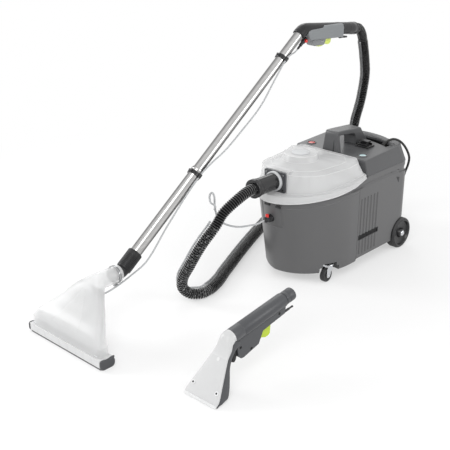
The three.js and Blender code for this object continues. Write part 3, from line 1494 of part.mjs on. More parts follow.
const wand = unit(pieces, wandX, wandY);
piece(wand, 'suction_lip', suctionLip(), slatePlastic);
piece(wand, 'nozzle_lip', nozzleLip(), clearPlastic);
piece(wand, 'floor_nozzle', floorNozzle(), clearPlastic);
piece(wand, 'nozzle_jet', nozzleJet(), slatePlastic);
piece(wand, 'hose_clamp', hoseClamp(), steel);
piece(wand, 'wand_cuff', wandCuff(), blackPlastic);
piece(wand, 'wand_lower_tube', pipe(shaftAt(gap - cuffSocket), shaftAt(lowerTubeEnd), lowerTubeRadius,
  lowerTubeRadius - tubeWall), chrome);
piece(wand, 'wand_upper_tube', pipe(shaftAt(upperTubeStart), shaftAt(upperTubeEnd - gap), upperTubeRadius,
  upperTubeRadius - tubeWall), chrome);
piece(wand, 'tube_clip_low', tubeClip(clipLow, lowerTubeRadius), slatePlastic);
piece(wand, 'tube_clip_high', tubeClip(clipHigh, upperTubeRadius), paleGrey);
piece(wand, 'wand_grip', wandGrip(), blackPlastic);
piece(wand, 'trigger_housing', triggerHousing(), greyGrip);
piece(wand, 'wand_trigger', wandTrigger(), limePlastic);
piece(wand, 'wand_coupling', wandCoupling(), blackPlastic);
piece(wand, 'wand_coupling_button',
  pushButton(couplerButton.clone().setX(couplerSeat + gap + buttonTravel), vec(1, 0, 0), buttonRadius, 8),
  redPlastic);
piece(wand, 'hose_cuff', hoseCuff(), blackPlastic);
piece(wand, 'wand_spray_hose', swept(wandHoseRoute, wandHoseRadius, 42), clearPlastic);

// ---------------------------------------------------------------- build: upholstery tool

const hand = unit(pieces, handX, handY);
piece(hand, 'hand_nozzle', handNozzle(), clearPlastic);
piece(hand, 'hand_shell', handShell(), slatePlastic);
piece(hand, 'hand_tube', handTube(), slatePlastic);
piece(hand, 'hand_housing', handHousing(), slatePlastic);
piece(hand, 'hand_trigger', handTrigger(), limePlastic);

export default pieces;
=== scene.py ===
# %% [markdown]
# # A carpet cleaner with its floor wand and hand tool
# The engineering model gives every piece its place and its motion. This lesson dresses it:
# each moulding, tube and hose is made again with fine geometry and a finish of its own,
# and rides on the same body as the plain solid that it stands for.

# %% Load the engineering model
import math

import bmesh
import bpy
import numpy as np
from mathutils import Matrix, Vector


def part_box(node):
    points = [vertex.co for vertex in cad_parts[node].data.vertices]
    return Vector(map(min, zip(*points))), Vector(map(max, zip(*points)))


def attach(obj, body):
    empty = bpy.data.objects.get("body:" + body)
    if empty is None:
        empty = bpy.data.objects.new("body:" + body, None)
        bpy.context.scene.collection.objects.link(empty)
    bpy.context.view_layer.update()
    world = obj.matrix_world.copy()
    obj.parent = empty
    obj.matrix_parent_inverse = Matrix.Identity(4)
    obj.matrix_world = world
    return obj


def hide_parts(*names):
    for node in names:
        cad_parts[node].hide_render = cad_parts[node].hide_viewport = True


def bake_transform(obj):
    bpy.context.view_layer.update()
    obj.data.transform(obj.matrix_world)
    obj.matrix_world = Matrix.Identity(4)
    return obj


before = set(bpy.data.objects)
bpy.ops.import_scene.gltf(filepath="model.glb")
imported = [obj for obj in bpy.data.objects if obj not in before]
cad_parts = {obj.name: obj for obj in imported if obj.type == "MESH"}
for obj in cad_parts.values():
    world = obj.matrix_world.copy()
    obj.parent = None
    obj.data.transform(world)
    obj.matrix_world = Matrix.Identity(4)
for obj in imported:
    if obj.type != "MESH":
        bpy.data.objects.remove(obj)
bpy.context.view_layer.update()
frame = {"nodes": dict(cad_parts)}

# %% [markdown]
# ## Units and places
# The solids were drawn in millimetres, as a machine drawing is, in three groups: the machine,
# the wand and the hand tool. Keeping those numbers makes each piece easy to check against the
# drawing, so one helper turns a point of a group into metres of the shared frame.

# %% Places of the three groups
MILLI = 0.001
PLACE = {"machine": (-39, 353, 0), "wand": (-175, -650, 0), "hand": (274, -576, 0)}
BODIES = {"machine": "machine", "wand": "wand", "hand": "hand_tool"}
SIDES = (-1, 1)          # towards -X, the object's right, and towards X, its left


def placed(points, group):
    """Points of a group, in millimetres, as an array of points of the frame, in metres."""
    return (np.asarray(points, float) + np.array(PLACE[group], float)) * MILLI


print("groups", PLACE)

# %% [markdown]
# ## The camera
# A long lens from about 2.8 m, a little above the machine, keeps the sides nearly parallel.

# %% Camera
CAMERA_AT = Vector((1.5835, -1.8829, 1.2552))
CAMERA_LOOKS_AT = Vector((-0.15758, -0.01978, 0.18902))
camera_data = bpy.data.cameras.new("camera")
camera_data.lens = 69.45
camera_data.sensor_width = 36
camera_data.clip_start, camera_data.clip_end = 0.05, 60
camera = bpy.data.objects.new("camera", camera_data)
camera.location = CAMERA_AT
camera.rotation_mode = "QUATERNION"
camera.rotation_quaternion = (CAMERA_LOOKS_AT - CAMERA_AT).to_track_quat("-Z", "Y")
bpy.context.scene.collection.objects.link(camera)
bpy.context.scene.camera = camera
bpy.context.view_layer.update()
print("camera stands", round((CAMERA_LOOKS_AT - CAMERA_AT).length, 3), "m from its target")

# %% [markdown]
# ## Meshes from numbers
# Most pieces are one of four forms: a skin over a row of loops, a profile turned about an
# axis, a section swept along a route, or a flat outline given a thickness. Each form gets one
# helper that returns points and faces, and one more turns those into an object.


# %% A mesh object
def make_object(name, points, faces, material=None, sharp_angle=32):
    """An object from points in metres, smooth but for edges sharper than the angle."""
    mesh = bpy.data.meshes.new(name)
    mesh.from_pydata([tuple(p) for p in points], [], [tuple(int(i) for i in f) for f in faces])
    fine = bmesh.new()
    fine.from_mesh(mesh)
    bmesh.ops.remove_doubles(fine, verts=fine.verts, dist=1e-6)
    bmesh.ops.recalc_face_normals(fine, faces=fine.faces)
    fine.to_mesh(mesh)
    fine.free()
    mesh.shade_smooth()
    mesh.set_sharp_from_angle(angle=math.radians(sharp_angle))
    thing = bpy.data.objects.new(name, mesh)
    bpy.context.scene.collection.objects.link(thing)
    if material is not None:
        mesh.materials.append(material)
    return thing


def finish_piece(thing, body, stands_for=()):
    """Ties a piece to its body and hides the solids that it stands for."""
    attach(thing, body)
    if stands_for:
        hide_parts(*([stands_for] if isinstance(stands_for, str) else stands_for))
    return thing


def placed_part(part, group):
    """A part's points moved from its group to the frame; without a group, scaled only."""
    points, faces = part
    return (placed(points, group) if group else np.asarray(points, float) * MILLI), faces


def piece(name, part, group, material, stands_for=(), body=None, sharp_angle=32):
    """A part made into an object with its finish, on its group's body or on another."""
    thing = make_object(name, *placed_part(part, group), material, sharp_angle)
    return finish_piece(thing, body or BODIES[group], stands_for)


def rounded(thing, width, segments=3, angle=30):
    """Rounds the edges of a piece, width in millimetres, as a mould leaves them."""
    bevel = thing.modifiers.new("rounded edges", "BEVEL")
    bevel.width = width * MILLI
    bevel.segments = segments
    bevel.limit_method = "ANGLE"
    bevel.angle_limit = math.radians(angle)
    bevel.harden_normals = False
    return thing


print("ready: make_object, piece, rounded")

# %% A skin over loops
def skin(loops, close_ends=True, closed=False):
    """Points and faces over loops of equal count. closed joins the last loop to the first."""
    count = len(loops[0])
    points = np.concatenate([np.asarray(loop, float) for loop in loops])
    faces = []
    rows = len(loops) if closed else len(loops) - 1
    for row in range(rows):
        here, there = row * count, ((row + 1) % len(loops)) * count
        for i in range(count):
            j = (i + 1) % count
            faces.append((here + i, here + j, there + j, there + i))
    if close_ends and not closed:
        faces.append(tuple(range(count))[::-1])
        last = (len(loops) - 1) * count
        faces.append(tuple(range(last, last + count)))
    return points, faces


print("ready: skin")

# %% A turned profile
NO_WIDTH = 1e-9          # a radius that counts as the axis itself


def axis_frame(direction):
    """Two directions across a given one, and that one with length 1."""
    way = Vector(direction).normalized()
    turn = way.to_track_quat("Z", "Y")
    return np.array(turn @ Vector((1, 0, 0))), np.array(turn @ Vector((0, 1, 0))), np.array(way)


def turned(profile, base, direction, sides=64):
    """A profile of (radius, height) turned about an axis. An open one starts and ends on it."""
    across, up, way = axis_frame(direction)
    base = np.asarray(base, float)
    ring_closed = profile[0] == profile[-1]
    rows = profile[:-1] if ring_closed else profile
    points, starts = [], []
    angles = np.linspace(0, 2 * math.pi, sides, endpoint=False)
    for radius, height in rows:
        starts.append(len(points))
        middle = base + way * height
        if radius < NO_WIDTH:
            points.append(middle)
        else:
            points += [middle + radius * (across * math.cos(a) + up * math.sin(a))
                       for a in angles]
    faces = []
    pairs = [(a, a + 1) for a in range(len(rows) - 1)]
    if ring_closed:
        pairs.append((len(rows) - 1, 0))
    for a, b in pairs:
        on_axis = (rows[a][0] < NO_WIDTH, rows[b][0] < NO_WIDTH)
        if all(on_axis):
            continue
        for i in range(sides):
            j = (i + 1) % sides
            if on_axis[0]:
                faces.append((starts[a], starts[b] + j, starts[b] + i))
            elif on_axis[1]:
                faces.append((starts[a] + i, starts[a] + j, starts[b]))
            else:
                faces.append((starts[a] + i, starts[a] + j, starts[b] + j, starts[b] + i))
    return np.array(points), faces


print("ready: turned")

# %% A smooth route
def smooth_route(points, step):
    """Even points along the centripetal curve through the given ones, about a step apart."""
    knots = np.asarray(points, float)
    knots = np.vstack([2 * knots[0] - knots[1], knots, 2 * knots[-1] - knots[-2]])
    dense = []
    for i in range(1, len(knots) - 2):
        p = knots[i - 1:i + 3]
        gaps = np.maximum(np.linalg.norm(np.diff(p, axis=0), axis=1), 1e-9) ** 0.5
        t = np.concatenate([[0], np.cumsum(gaps)])
        for s in np.linspace(t[1], t[2], 24, endpoint=False):
            a = [((t[k + 1] - s) * p[k] + (s - t[k]) * p[k + 1]) / (t[k + 1] - t[k])
                 for k in range(3)]
            b = [((t[k + 2] - s) * a[k] + (s - t[k]) * a[k + 1]) / (t[k + 2] - t[k])
                 for k in range(2)]
            dense.append(((t[2] - s) * b[0] + (s - t[1]) * b[1]) / (t[2] - t[1]))
    dense.append(knots[-2])
    dense = np.array(dense)
    run = np.concatenate([[0], np.cumsum(np.linalg.norm(np.diff(dense, axis=0), axis=1))])
    count = max(2, int(round(run[-1] / step)) + 1)
    at = np.linspace(0, run[-1], count)
    return np.stack([np.interp(at, run, dense[:, k]) for k in range(3)], axis=1)


def route_length(points):
    """Length along a row of points."""
    return float(np.linalg.norm(np.diff(points, axis=0), axis=1).sum())


def travelling_frames(points):
    """Tangent and two directions across at each point, turning as little as the route allows."""
    tangents = np.gradient(points, axis=0)
    tangents /= np.linalg.norm(tangents, axis=1)[:, None]
    first = np.array([0.0, 0, 1]) if abs(tangents[0][2]) < 0.9 else np.array([1.0, 0, 0])
    across = first - tangents[0] * (first @ tangents[0])
    across /= np.linalg.norm(across)
    frames = []
    for tangent in tangents:
        across = across - tangent * (across @ tangent)
        across /= np.linalg.norm(across)
        frames.append((tangent, across, np.cross(tangent, across)))
    return frames


def swept(points, radius, sides=16, close_ends=True):
    """A round section along points; radius is a number or one number for each point."""
    radii = np.broadcast_to(np.asarray(radius, float), len(points))
    angles = np.linspace(0, 2 * math.pi, sides, endpoint=False)
    ring = np.stack([np.cos(angles), np.sin(angles)], axis=1)
    loops = []
    for point, r, (_, across, up) in zip(points, radii, travelling_frames(points)):
        loops.append(point + r * (ring[:, :1] * across + ring[:, 1:] * up))
    return skin(loops, close_ends)


print("ready: smooth_route, swept")

# %% A plate with an outline
def plate(outline, half, axis="x"):
    """An outline given a thickness: of (y, z) points along X, or of (x, y) points along Z.

    Along X, half is half of the thickness; along Z, it is the lower and the upper height.
    """
    flat = np.asarray(outline, float)
    count = len(flat)
    if axis == "x":
        return skin([np.column_stack([np.full(count, s * half), flat]) for s in (-1, 1)])
    return skin([np.column_stack([flat, np.full(count, z)]) for z in half])


def moved(part, x=0, y=0):
    """A part shifted in place by some millimetres."""
    points, _ = part
    points[:, :2] += (x, y)
    return part


def box_points(x0, x1, y0, y1, z0, z1):
    """A box between two corners, as a plate."""
    return plate([(x0, y0), (x1, y0), (x1, y1), (x0, y1)], (z0, z1), axis="z")


def joined_parts(*parts):
    """Several sets of points and faces as one."""
    points, faces = [], []
    for p, f in parts:
        start = sum(len(q) for q in points)
        points.append(np.asarray(p, float))
        faces += [tuple(i + start for i in face) for face in f]
    return np.concatenate(points), faces


print("ready: plate, box_points, joined_parts")

# %% Cuts and joins
def boolean(thing, tools, operation="DIFFERENCE"):
    """Cuts the tools out of a piece, or joins them to it, and deletes them.

    The piece keeps the finish that it had, on all its faces.
    """
    for tool in tools:
        step = thing.modifiers.new("cut", "BOOLEAN")
        step.operation = operation
        step.object = tool
        step.solver = "EXACT"
    bpy.context.view_layer.update()
    evaluated = thing.evaluated_get(bpy.context.evaluated_depsgraph_get())
    settled = bpy.data.meshes.new_from_object(evaluated)
    thing.modifiers.clear()
    old, thing.data = thing.data, settled
    settled.materials.clear()
    for material in old.materials:
        settled.materials.append(material)
    bpy.data.meshes.remove(old)
    settled.shade_smooth()
    settled.set_sharp_from_angle(angle=math.radians(32))
    for tool in tools:
        bpy.data.objects.remove(tool)
    return thing


def cutter(name, part, group="machine"):
    """A plain object to cut with; boolean() deletes it again."""
    return make_object(name, *placed_part(part, group))


print("helpers are ready")

# %% [markdown]
# ## Studio
# Such machines are shown on a plain pale floor under wide soft boxes. The floor is a real
# diffuse surface, so it takes the shadow. For rays that come from the camera, a mirror or
# glass, half of its shade is replaced by plain white, and the far floor is white altogether,
# so that the floor runs into a white background without any extra light on the machine.

# %% Floor and world
SHADOW_SHARE = 0.5       # how much of the floor's own shade a seeing ray gets
FLOOR_NEAR, FLOOR_FAR = 0.95, 1.9
FLOOR_HALF = 30000       # mm
SOFT_LEVEL = 0.78        # strength of the light that the whole room gives


def node_tree(owner):
    """The empty node tree of a material or a world."""
    owner.use_nodes = True
    owner.node_tree.nodes.clear()
    return owner.node_tree


def add(tree, kind, inputs=None, **settings):
    """One shader node. An input that is given a socket is linked; a number is set on it."""
    node = tree.nodes.new(kind)
    for key, value in settings.items():
        setattr(node, key, value)
    for key, value in (inputs or {}).items():
        if isinstance(value, bpy.types.NodeSocket):
            tree.links.new(value, node.inputs[key])
        else:
            node.inputs[key].default_value = value
    return node


def calculate(tree, operation, first, second, clamp=False):
    """A sum, a product or the like of two values, each a socket or a number."""
    return add(tree, "ShaderNodeMath", {0: first, 1: second}, operation=operation,
               use_clamp=clamp).outputs[0]


def remap(tree, value, source=(0, 1), target=(0, 1), soft=False):
    """A value carried from one range to another, on a soft curve if wanted."""
    return add(tree, "ShaderNodeMapRange",
               {"Value": value, "From Min": source[0], "From Max": source[1],
                "To Min": target[0], "To Max": target[1]},
               interpolation_type="SMOOTHSTEP" if soft else "LINEAR").outputs["Result"]


def mix_shaders(tree, share, first, second):
    """The output of two shaders mixed by a socket."""
    return add(tree, "ShaderNodeMixShader",
               {"Fac": share, 1: first.outputs[0], 2: second.outputs[0]}).outputs[0]


def seeing_rays(tree):
    """1 for rays of the camera, of a mirror or of glass, 0 for the light on the object."""
    path = add(tree, "ShaderNodeLightPath").outputs
    eye = calculate(tree, "MAXIMUM", path["Is Camera Ray"], path["Is Glossy Ray"])
    return calculate(tree, "MAXIMUM", eye, path["Is Transmission Ray"])


floor_material = bpy.data.materials.new("pale floor")
tree = node_tree(floor_material)
shade = add(tree, "ShaderNodeBsdfDiffuse", {"Color": (0.86, 0.86, 0.86, 1)})
white = add(tree, "ShaderNodeEmission", {"Color": (1, 1, 1, 1), "Strength": 1})
place = add(tree, "ShaderNodeNewGeometry").outputs["Position"]
away = add(tree, "ShaderNodeVectorMath", {0: place}, operation="LENGTH").outputs["Value"]
far_share = remap(tree, away, (FLOOR_NEAR, FLOOR_FAR), (1 - SHADOW_SHARE, 1), soft=True)
share = calculate(tree, "MULTIPLY", seeing_rays(tree), far_share)
add(tree, "ShaderNodeOutputMaterial", {"Surface": mix_shaders(tree, share, shade, white)})
slab = box_points(-FLOOR_HALF, FLOOR_HALF, -FLOOR_HALF, FLOOR_HALF, -20, -0.2)
floor = make_object("floor", *placed_part(slab, None), floor_material)

world = bpy.data.worlds.new("studio")
bpy.context.scene.world = world
tree = node_tree(world)
fill, seen = [add(tree, "ShaderNodeBackground", {"Color": (1, 1, 1, 1), "Strength": level})
              for level in (SOFT_LEVEL, 1)]
surface = mix_shaders(tree, seeing_rays(tree), fill, seen)
add(tree, "ShaderNodeOutputWorld", {"Surface": surface})
print("world strength", SOFT_LEVEL)

# %% Soft boxes
LAMPS = {
    "key": ((1.6, -2.6, 3.2), 2.2, 60),
    "side": ((3.4, 1.2, 1.9), 1.6, 30),
    "left": ((-2.4, -1.5, 1.5), 1.0, 34),
    "rim": ((-2.6, 2.4, 2.8), 1.8, 22),
}
LAMPS_LOOK_AT = Vector((0, 0, 0.25))
for name, (spot, size, power) in LAMPS.items():
    lamp = bpy.data.lights.new(f"{name} lamp", "AREA")
    lamp.shape = "SQUARE"
    lamp.size = size
    lamp.energy = power
    holder = bpy.data.objects.new(f"{name} lamp", lamp)
    holder.location = spot
    holder.rotation_mode = "QUATERNION"
    holder.rotation_quaternion = (LAMPS_LOOK_AT - Vector(spot)).to_track_quat("-Z", "Y")
    bpy.context.scene.collection.objects.link(holder)
bpy.context.scene.view_settings.view_transform = "Standard"
print("lamps", {name: power for name, (_, _, power) in LAMPS.items()})

# %% [markdown]
# ## Effects that several finishes share
# Moulded plastic is never one flat colour: the mould leaves a fine grain, edges rub paler or
# shinier, the sheet cools unevenly, and dust settles where a face looks up. The edge group also
# paints an unbroken highlight along sharp edges where a finish asks for one. Each effect is a
# group with named inputs, built once, and each finish sets it to its own strength.


# %% A shader group
def new_group(name, inputs, outputs):
    """A node group with number inputs {name: default} and number outputs."""
    group = bpy.data.node_groups.new(name, "ShaderNodeTree")
    for label, default in inputs.items():
        socket = group.interface.new_socket(label, in_out="INPUT", socket_type="NodeSocketFloat")
        socket.default_value = default
    for label in outputs:
        group.interface.new_socket(label, in_out="OUTPUT", socket_type="NodeSocketFloat")
    return group, add(group, "NodeGroupInput").outputs


def object_place(tree, scale=None):
    """Coordinates in metres of the piece, multiplied by a socket where one is given."""
    place = add(tree, "ShaderNodeTexCoord").outputs["Object"]
    if scale is None:
        return place
    return add(tree, "ShaderNodeVectorMath", {0: place, "Scale": scale},
               operation="SCALE").outputs["Vector"]


def noise(tree, where, scale, detail):
    """Soft noise, from 0 to 1."""
    return add(tree, "ShaderNodeTexNoise",
               {"Vector": where, "Scale": scale, "Detail": detail}).outputs["Fac"]


print("ready: new_group, noise")

# %% Mould grain
grain_group, given = new_group("mould grain", {"Scale": 900, "Amount": 1}, ("Height", "Speckle"))
where = object_place(grain_group, given["Scale"])
speckle = noise(grain_group, where, 1, 3)
cells = add(grain_group, "ShaderNodeTexVoronoi", {"Vector": where, "Scale": 0.7})
both = calculate(grain_group, "MULTIPLY", speckle, cells.outputs["Distance"])
height = calculate(grain_group, "MULTIPLY", both, given["Amount"])
add(grain_group, "NodeGroupOutput", {"Height": height, "Speckle": speckle})
print("group", grain_group.name)

# %% Cloudiness of a moulding
cloud_group, given = new_group("cloudiness", {"Scale": 9, "Contrast": 0.5}, ("Mask",))
slow = noise(cloud_group, object_place(cloud_group, given["Scale"]), 1, 4)
centred = calculate(cloud_group, "SUBTRACT", slow, 0.5)
stretched = calculate(cloud_group, "MULTIPLY", centred, given["Contrast"])
lifted = calculate(cloud_group, "ADD", stretched, 0.5, clamp=True)
add(cloud_group, "NodeGroupOutput", {"Mask": lifted})
print("group", cloud_group.name)

# %% Edges that rub, and painted edge highlights
EDGE_STARTS, EDGE_FULL = 0.52, 0.62      # how sharp a spot has to be before it rubs or takes a painted edge highlight
edge_wear_and_highlight_group, given = new_group("rubbed and highlit edges", {"Amount": 0.5, "Broken": 1}, ("Mask",))
sharpness = add(edge_wear_and_highlight_group, "ShaderNodeNewGeometry").outputs["Pointiness"]
edge = remap(edge_wear_and_highlight_group, sharpness, (EDGE_STARTS, EDGE_FULL), soft=True)
broken = noise(edge_wear_and_highlight_group, object_place(edge_wear_and_highlight_group), 60, 5)
share = add(edge_wear_and_highlight_group, "ShaderNodeMix", {0: given["Broken"], 2: 1, 3: broken},
            data_type="FLOAT").outputs[0]
patchy = calculate(edge_wear_and_highlight_group, "MULTIPLY", edge, share)
strength = calculate(edge_wear_and_highlight_group, "MULTIPLY", patchy, given["Amount"], clamp=True)
add(edge_wear_and_highlight_group, "NodeGroupOutput", {"Mask": strength})
print("group", edge_wear_and_highlight_group.name)

# %% Dust on faces that look up
dust_group, given = new_group("dust", {"Amount": 0.1}, ("Mask",))
way_out = add(dust_group, "ShaderNodeNewGeometry").outputs["Normal"]
upward = add(dust_group, "ShaderNodeSeparateXYZ", {0: way_out}).outputs["Z"]
lying = remap(dust_group, upward, (0.5, 1), soft=True)
specks = noise(dust_group, object_place(dust_group), 420, 2)
settled = calculate(dust_group, "MULTIPLY", lying, specks)
strength = calculate(dust_group, "MULTIPLY", settled, given["Amount"], clamp=True)
add(dust_group, "NodeGroupOutput", {"Mask": strength})
print("groups", [g.name for g in bpy.data.node_groups])

# %% [markdown]
# ## Finishes
# One recipe makes every moulded finish: a base colour that the cloudiness shifts a little,
# edges that rub paler and dust that pale it, roughness that follows the same clouds, and the grain as
# a bump. A finish given an edge colour gets it unbroken on every sharp edge, as a painted highlight.
# Only the numbers differ from a matt hull to a glossy button. Plain numbers, such as
# the coat or the transmission, are set on the shader itself.


# %% One finish
ROUGHNESS_SWING = 0.06   # how far the clouds move the roughness to either side
GRAIN_HEIGHT = 0.0006    # m
DUST_LEVEL = 0.55


def use_group(tree, group, **values):
    return add(tree, "ShaderNodeGroup", values, node_tree=group)


def mix_colour(tree, factor, first, second, **settings):
    """Two colours, each a socket or numbers, mixed by a socket or a number."""
    first, second = [colour if isinstance(colour, bpy.types.NodeSocket) else (*colour, 1)
                     for colour in (first, second)]
    return add(tree, "ShaderNodeMix", {0: factor, 6: first, 7: second}, data_type="RGBA",
               **settings).outputs[2]


def bumped(tree, height, strength, distance):
    """Normals that follow a height, distance in metres."""
    return add(tree, "ShaderNodeBump", {"Height": height, "Strength": strength,
                                        "Distance": distance}).outputs["Normal"]


def dressed(tree, sockets):
    """The shader with its sockets, each linked or set, joined to the material's output."""
    shader = add(tree, "ShaderNodeBsdfPrincipled", sockets)
    add(tree, "ShaderNodeOutputMaterial", {"Surface": shader.outputs[0]})


def grey(level):
    return (level, level, level)


def lighter(colour, by):
    return tuple(min(1.0, c * by) for c in colour)


def make_finish(name, colour, roughness, grain=(900, 0.05), cloud=0.6, spread=0.08, wear=0.4,
                dust=0.1, metallic=0.0, edge=None, alpha=None, **fixed):
    """A moulded, cast or drawn finish. fixed are plain numbers of the shader, by socket name."""
    material = bpy.data.materials.new(name)
    tree = node_tree(material)
    clouds = use_group(tree, cloud_group, Contrast=cloud).outputs["Mask"]
    # With an edge colour given, every sharp edge takes it unbroken, a painted edge highlight; without
    # one, edges rub paler in patches.
    edges = use_group(tree, edge_wear_and_highlight_group, Amount=wear, Broken=0 if edge else 1).outputs["Mask"]
    specks = use_group(tree, dust_group, Amount=dust).outputs["Mask"]
    colours = mix_colour(tree, clouds, lighter(colour, 1 - spread), lighter(colour, 1 + spread))
    colours = mix_colour(tree, edges, colours, edge or lighter(colour, 1.7))
    height = use_group(tree, grain_group, Scale=grain[0]).outputs["Height"]
    sockets = {"Base Color": mix_colour(tree, specks, colours, grey(DUST_LEVEL)),
               "Roughness": remap(tree, clouds, target=(max(0.02, roughness - ROUGHNESS_SWING),
                                                        min(1.0, roughness + ROUGHNESS_SWING))),
               "Normal": bumped(tree, height, grain[1], GRAIN_HEIGHT), "Metallic": metallic}
    # A see-through finish with marked edges grows less clear along them, part of its painted edge
    # highlight.
    if alpha is not None and wear == 0:
        sockets["Alpha"] = alpha
    elif alpha is not None:
        sockets["Alpha"] = remap(tree, edges, target=(alpha, min(1.0, alpha + 0.4)))
    dressed(tree, sockets | {label.replace("_", " "): value for label, value in fixed.items()})
    return material


def repainted(material, colours):
    """The same finish with other colours on its shader."""
    tree = material.node_tree
    shader = next(n for n in tree.nodes if n.type == "BSDF_PRINCIPLED")
    tree.links.new(colours, shader.inputs["Base Color"])
    return material


print("ready: make_finish, repainted")

# %% The finishes
GREY_BODY = make_finish("grey hull", (0.098, 0.098, 0.1), 0.36, (700, 0.16), wear=0.3, dust=0.06)
DARK_BODY = make_finish("dark cover", (0.072, 0.073, 0.076), 0.34, (700, 0.14), wear=0.35,
                        dust=0.08)
BLACK_PLASTIC = make_finish("black moulding", (0.01, 0.01, 0.011), 0.3, (900, 0.08), wear=0.3,
                            dust=0.04)
SLATE_PLASTIC = make_finish("slate moulding", (0.048, 0.05, 0.055), 0.36, (900, 0.12), wear=0.35,
                            dust=0.06)
GREY_GRIP = make_finish("grey grip housing", (0.205, 0.212, 0.218), 0.42, (900, 0.14), wear=0.3)
SOFT_BLACK = make_finish("soft black grip", (0.014, 0.014, 0.015), 0.36, (1200, 0.2), wear=0.2,
                         dust=0.04, Specular_IOR_Level=0.3)
LIME = make_finish("lime trigger", (0.69, 0.8, 0.16), 0.36, (900, 0.05), wear=0.1, dust=0)
LIME_DARK = make_finish("lime lever", (0.45, 0.58, 0.02), 0.36, (900, 0.05), wear=0.1, dust=0)
RED_PLASTIC = make_finish("red button", (0.68, 0.018, 0.014), 0.28, (900, 0.03), wear=0.1, dust=0,
                          Coat_Weight=0.3)
PALE_GREY = make_finish("pale grey ring", (0.5, 0.51, 0.52), 0.36, (900, 0.06), wear=0.2)
TUB_WHITE = make_finish("waste tub", (0.7, 0.705, 0.71), 0.4, (700, 0.1), wear=0.2)
RUBBER = make_finish("black rubber", (0.016, 0.016, 0.016), 0.6, (1400, 0.3), wear=0.1, dust=0.05)
TYRE = make_finish("tyre", (0.02, 0.02, 0.021), 0.55, (600, 0.3), wear=0.2, dust=0.12)
STEEL = make_finish("brushed steel", (0.36, 0.365, 0.37), 0.2, (500, 0.12), metallic=1.0, dust=0)
CHROME = make_finish("chrome", (0.62, 0.63, 0.65), 0.1, (300, 0.01), spread=0.03, wear=0, dust=0,
                     metallic=1.0)
CLEAR_LOOK = {"grain": (500, 0.03), "wear": 0, "dust": 0}
CLEAR = make_finish("clear white moulding", (0.8, 0.803, 0.806), 0.24, spread=0.015, alpha=0.5,
                    **CLEAR_LOOK)
# Paler and less clear, for the painted highlights along the lid's bends.
CLEAR_HIGHLIGHT = make_finish("painted edge highlight", grey(0.86), 0.2, spread=0.02, alpha=0.6,
                         **CLEAR_LOOK)
FAN_CLEAR = make_finish("clear nozzle", (0.84, 0.843, 0.846), 0.26, spread=0.01, alpha=0.42,
                        **CLEAR_LOOK)
HOSE_CLEAR = make_finish("clear hose", (0.55, 0.56, 0.57), 0.2, spread=0.05,
                         Transmission_Weight=0.3, IOR=1.3, **CLEAR_LOOK)
RIB_CLEAR = make_finish("clear ribs", (0.36, 0.364, 0.37), 0.4, spread=0.02, alpha=0.3,
                        **CLEAR_LOOK)
PANEL_CLEAR = make_finish("clear panel", grey(0.9), 0.3, spread=0.02, alpha=0.12, **CLEAR_LOOK)
# The white face's edge colour is a painted highlight along every sharp edge.
FACE_WHITE = make_finish("white tool face", (0.67, 0.673, 0.676), 0.3, (500, 0.04), spread=0.02,
                         wear=0.4, dust=0, edge=grey(0.86), alpha=0.8)
GREEN_CAP = make_finish("green cap", (0.5, 0.66, 0.68), 0.2, (900, 0.02), wear=0, dust=0,
                        Coat_Weight=0.3)
RED_CAP = make_finish("red cap", (0.6, 0.03, 0.02), 0.26, (900, 0.02), wear=0, dust=0,
                      Coat_Weight=0.3)
# Near black that paints shade: the cross drives of the port's screws and the screw heads on the hand
# tool.
SHADE_BLACK = make_finish("seam shadow", grey(0.006), 0.8, dust=0, wear=0)
GLOSS_BLACK = make_finish("glossy black cuff", (0.014, 0.014, 0.015), 0.16, (900, 0.03), wear=0.1,
                          dust=0.02)
SADDLE_GREY = make_finish("grip saddle", (0.2, 0.212, 0.22), 0.4, (900, 0.12), wear=0.2)
# The lip bar's edge colour is a painted highlight along every sharp edge.
LIP_GREY = make_finish("lip bar", (0.6, 0.603, 0.606), 0.36, (900, 0.06), wear=0.3,
                       edge=grey(0.8))
print("materials so far", len(bpy.data.materials))

# %% Drawn tube
SHAFT_LEAN = math.radians(36)            # how far the wand's tubes lean from the floor
# Painted reflection of the tube: grey levels by how far the face turns from the view, pale in the
# middle, then a dark band, then a white edge.
TUBE_REFLECTION_STOPS = ((0.0, 0.5), (0.16, 0.66), (0.3, 0.4), (0.44, 0.3), (0.54, 0.06), (0.62, 0.5),
              (0.8, 0.85))


def tube_finish(name):
    """Chromed tube: streaks along it from drawing and polishing, bands across, and a painted reflection
    that darkens and whitens it by how far the face turns from the view.
    """
    material = make_finish(name, grey(0.62), 0.13, (400, 0.01), spread=0.03, wear=0, dust=0,
                           metallic=1.0)
    tree = material.node_tree
    squeezed = add(tree, "ShaderNodeMapping",
                   {"Vector": object_place(tree), "Rotation": (-SHAFT_LEAN, 0, 0),
                    "Scale": (150, 0.8, 150)}).outputs["Vector"]
    # Painted reflection: the ramp sets the tube's colour by how far its face turns from the view.
    painted_light_facing = add(tree, "ShaderNodeLayerWeight", {"Blend": 0.5}).outputs["Facing"]
    reflection_ramp = add(tree, "ShaderNodeValToRGB", {"Fac": painted_light_facing})
    stops = reflection_ramp.color_ramp.elements
    while len(stops) < len(TUBE_REFLECTION_STOPS):
        stops.new(0.5)
    for stop, (at, level) in zip(stops, TUBE_REFLECTION_STOPS):
        stop.position = at
        stop.color = (level, level * 0.99, level * 0.98, 1)
    streaked = mix_colour(tree, noise(tree, squeezed, 1, 2), grey(0.72), grey(1.0))
    return repainted(material, mix_colour(tree, 1, reflection_ramp.outputs["Color"], streaked,
                                          blend_type="MULTIPLY"))


TUBE = tube_finish("drawn chrome tube")
print("made", TUBE.name)

# %% Ribbed rubber
DEEP_BLACK = (0.004, 0.004, 0.0045)


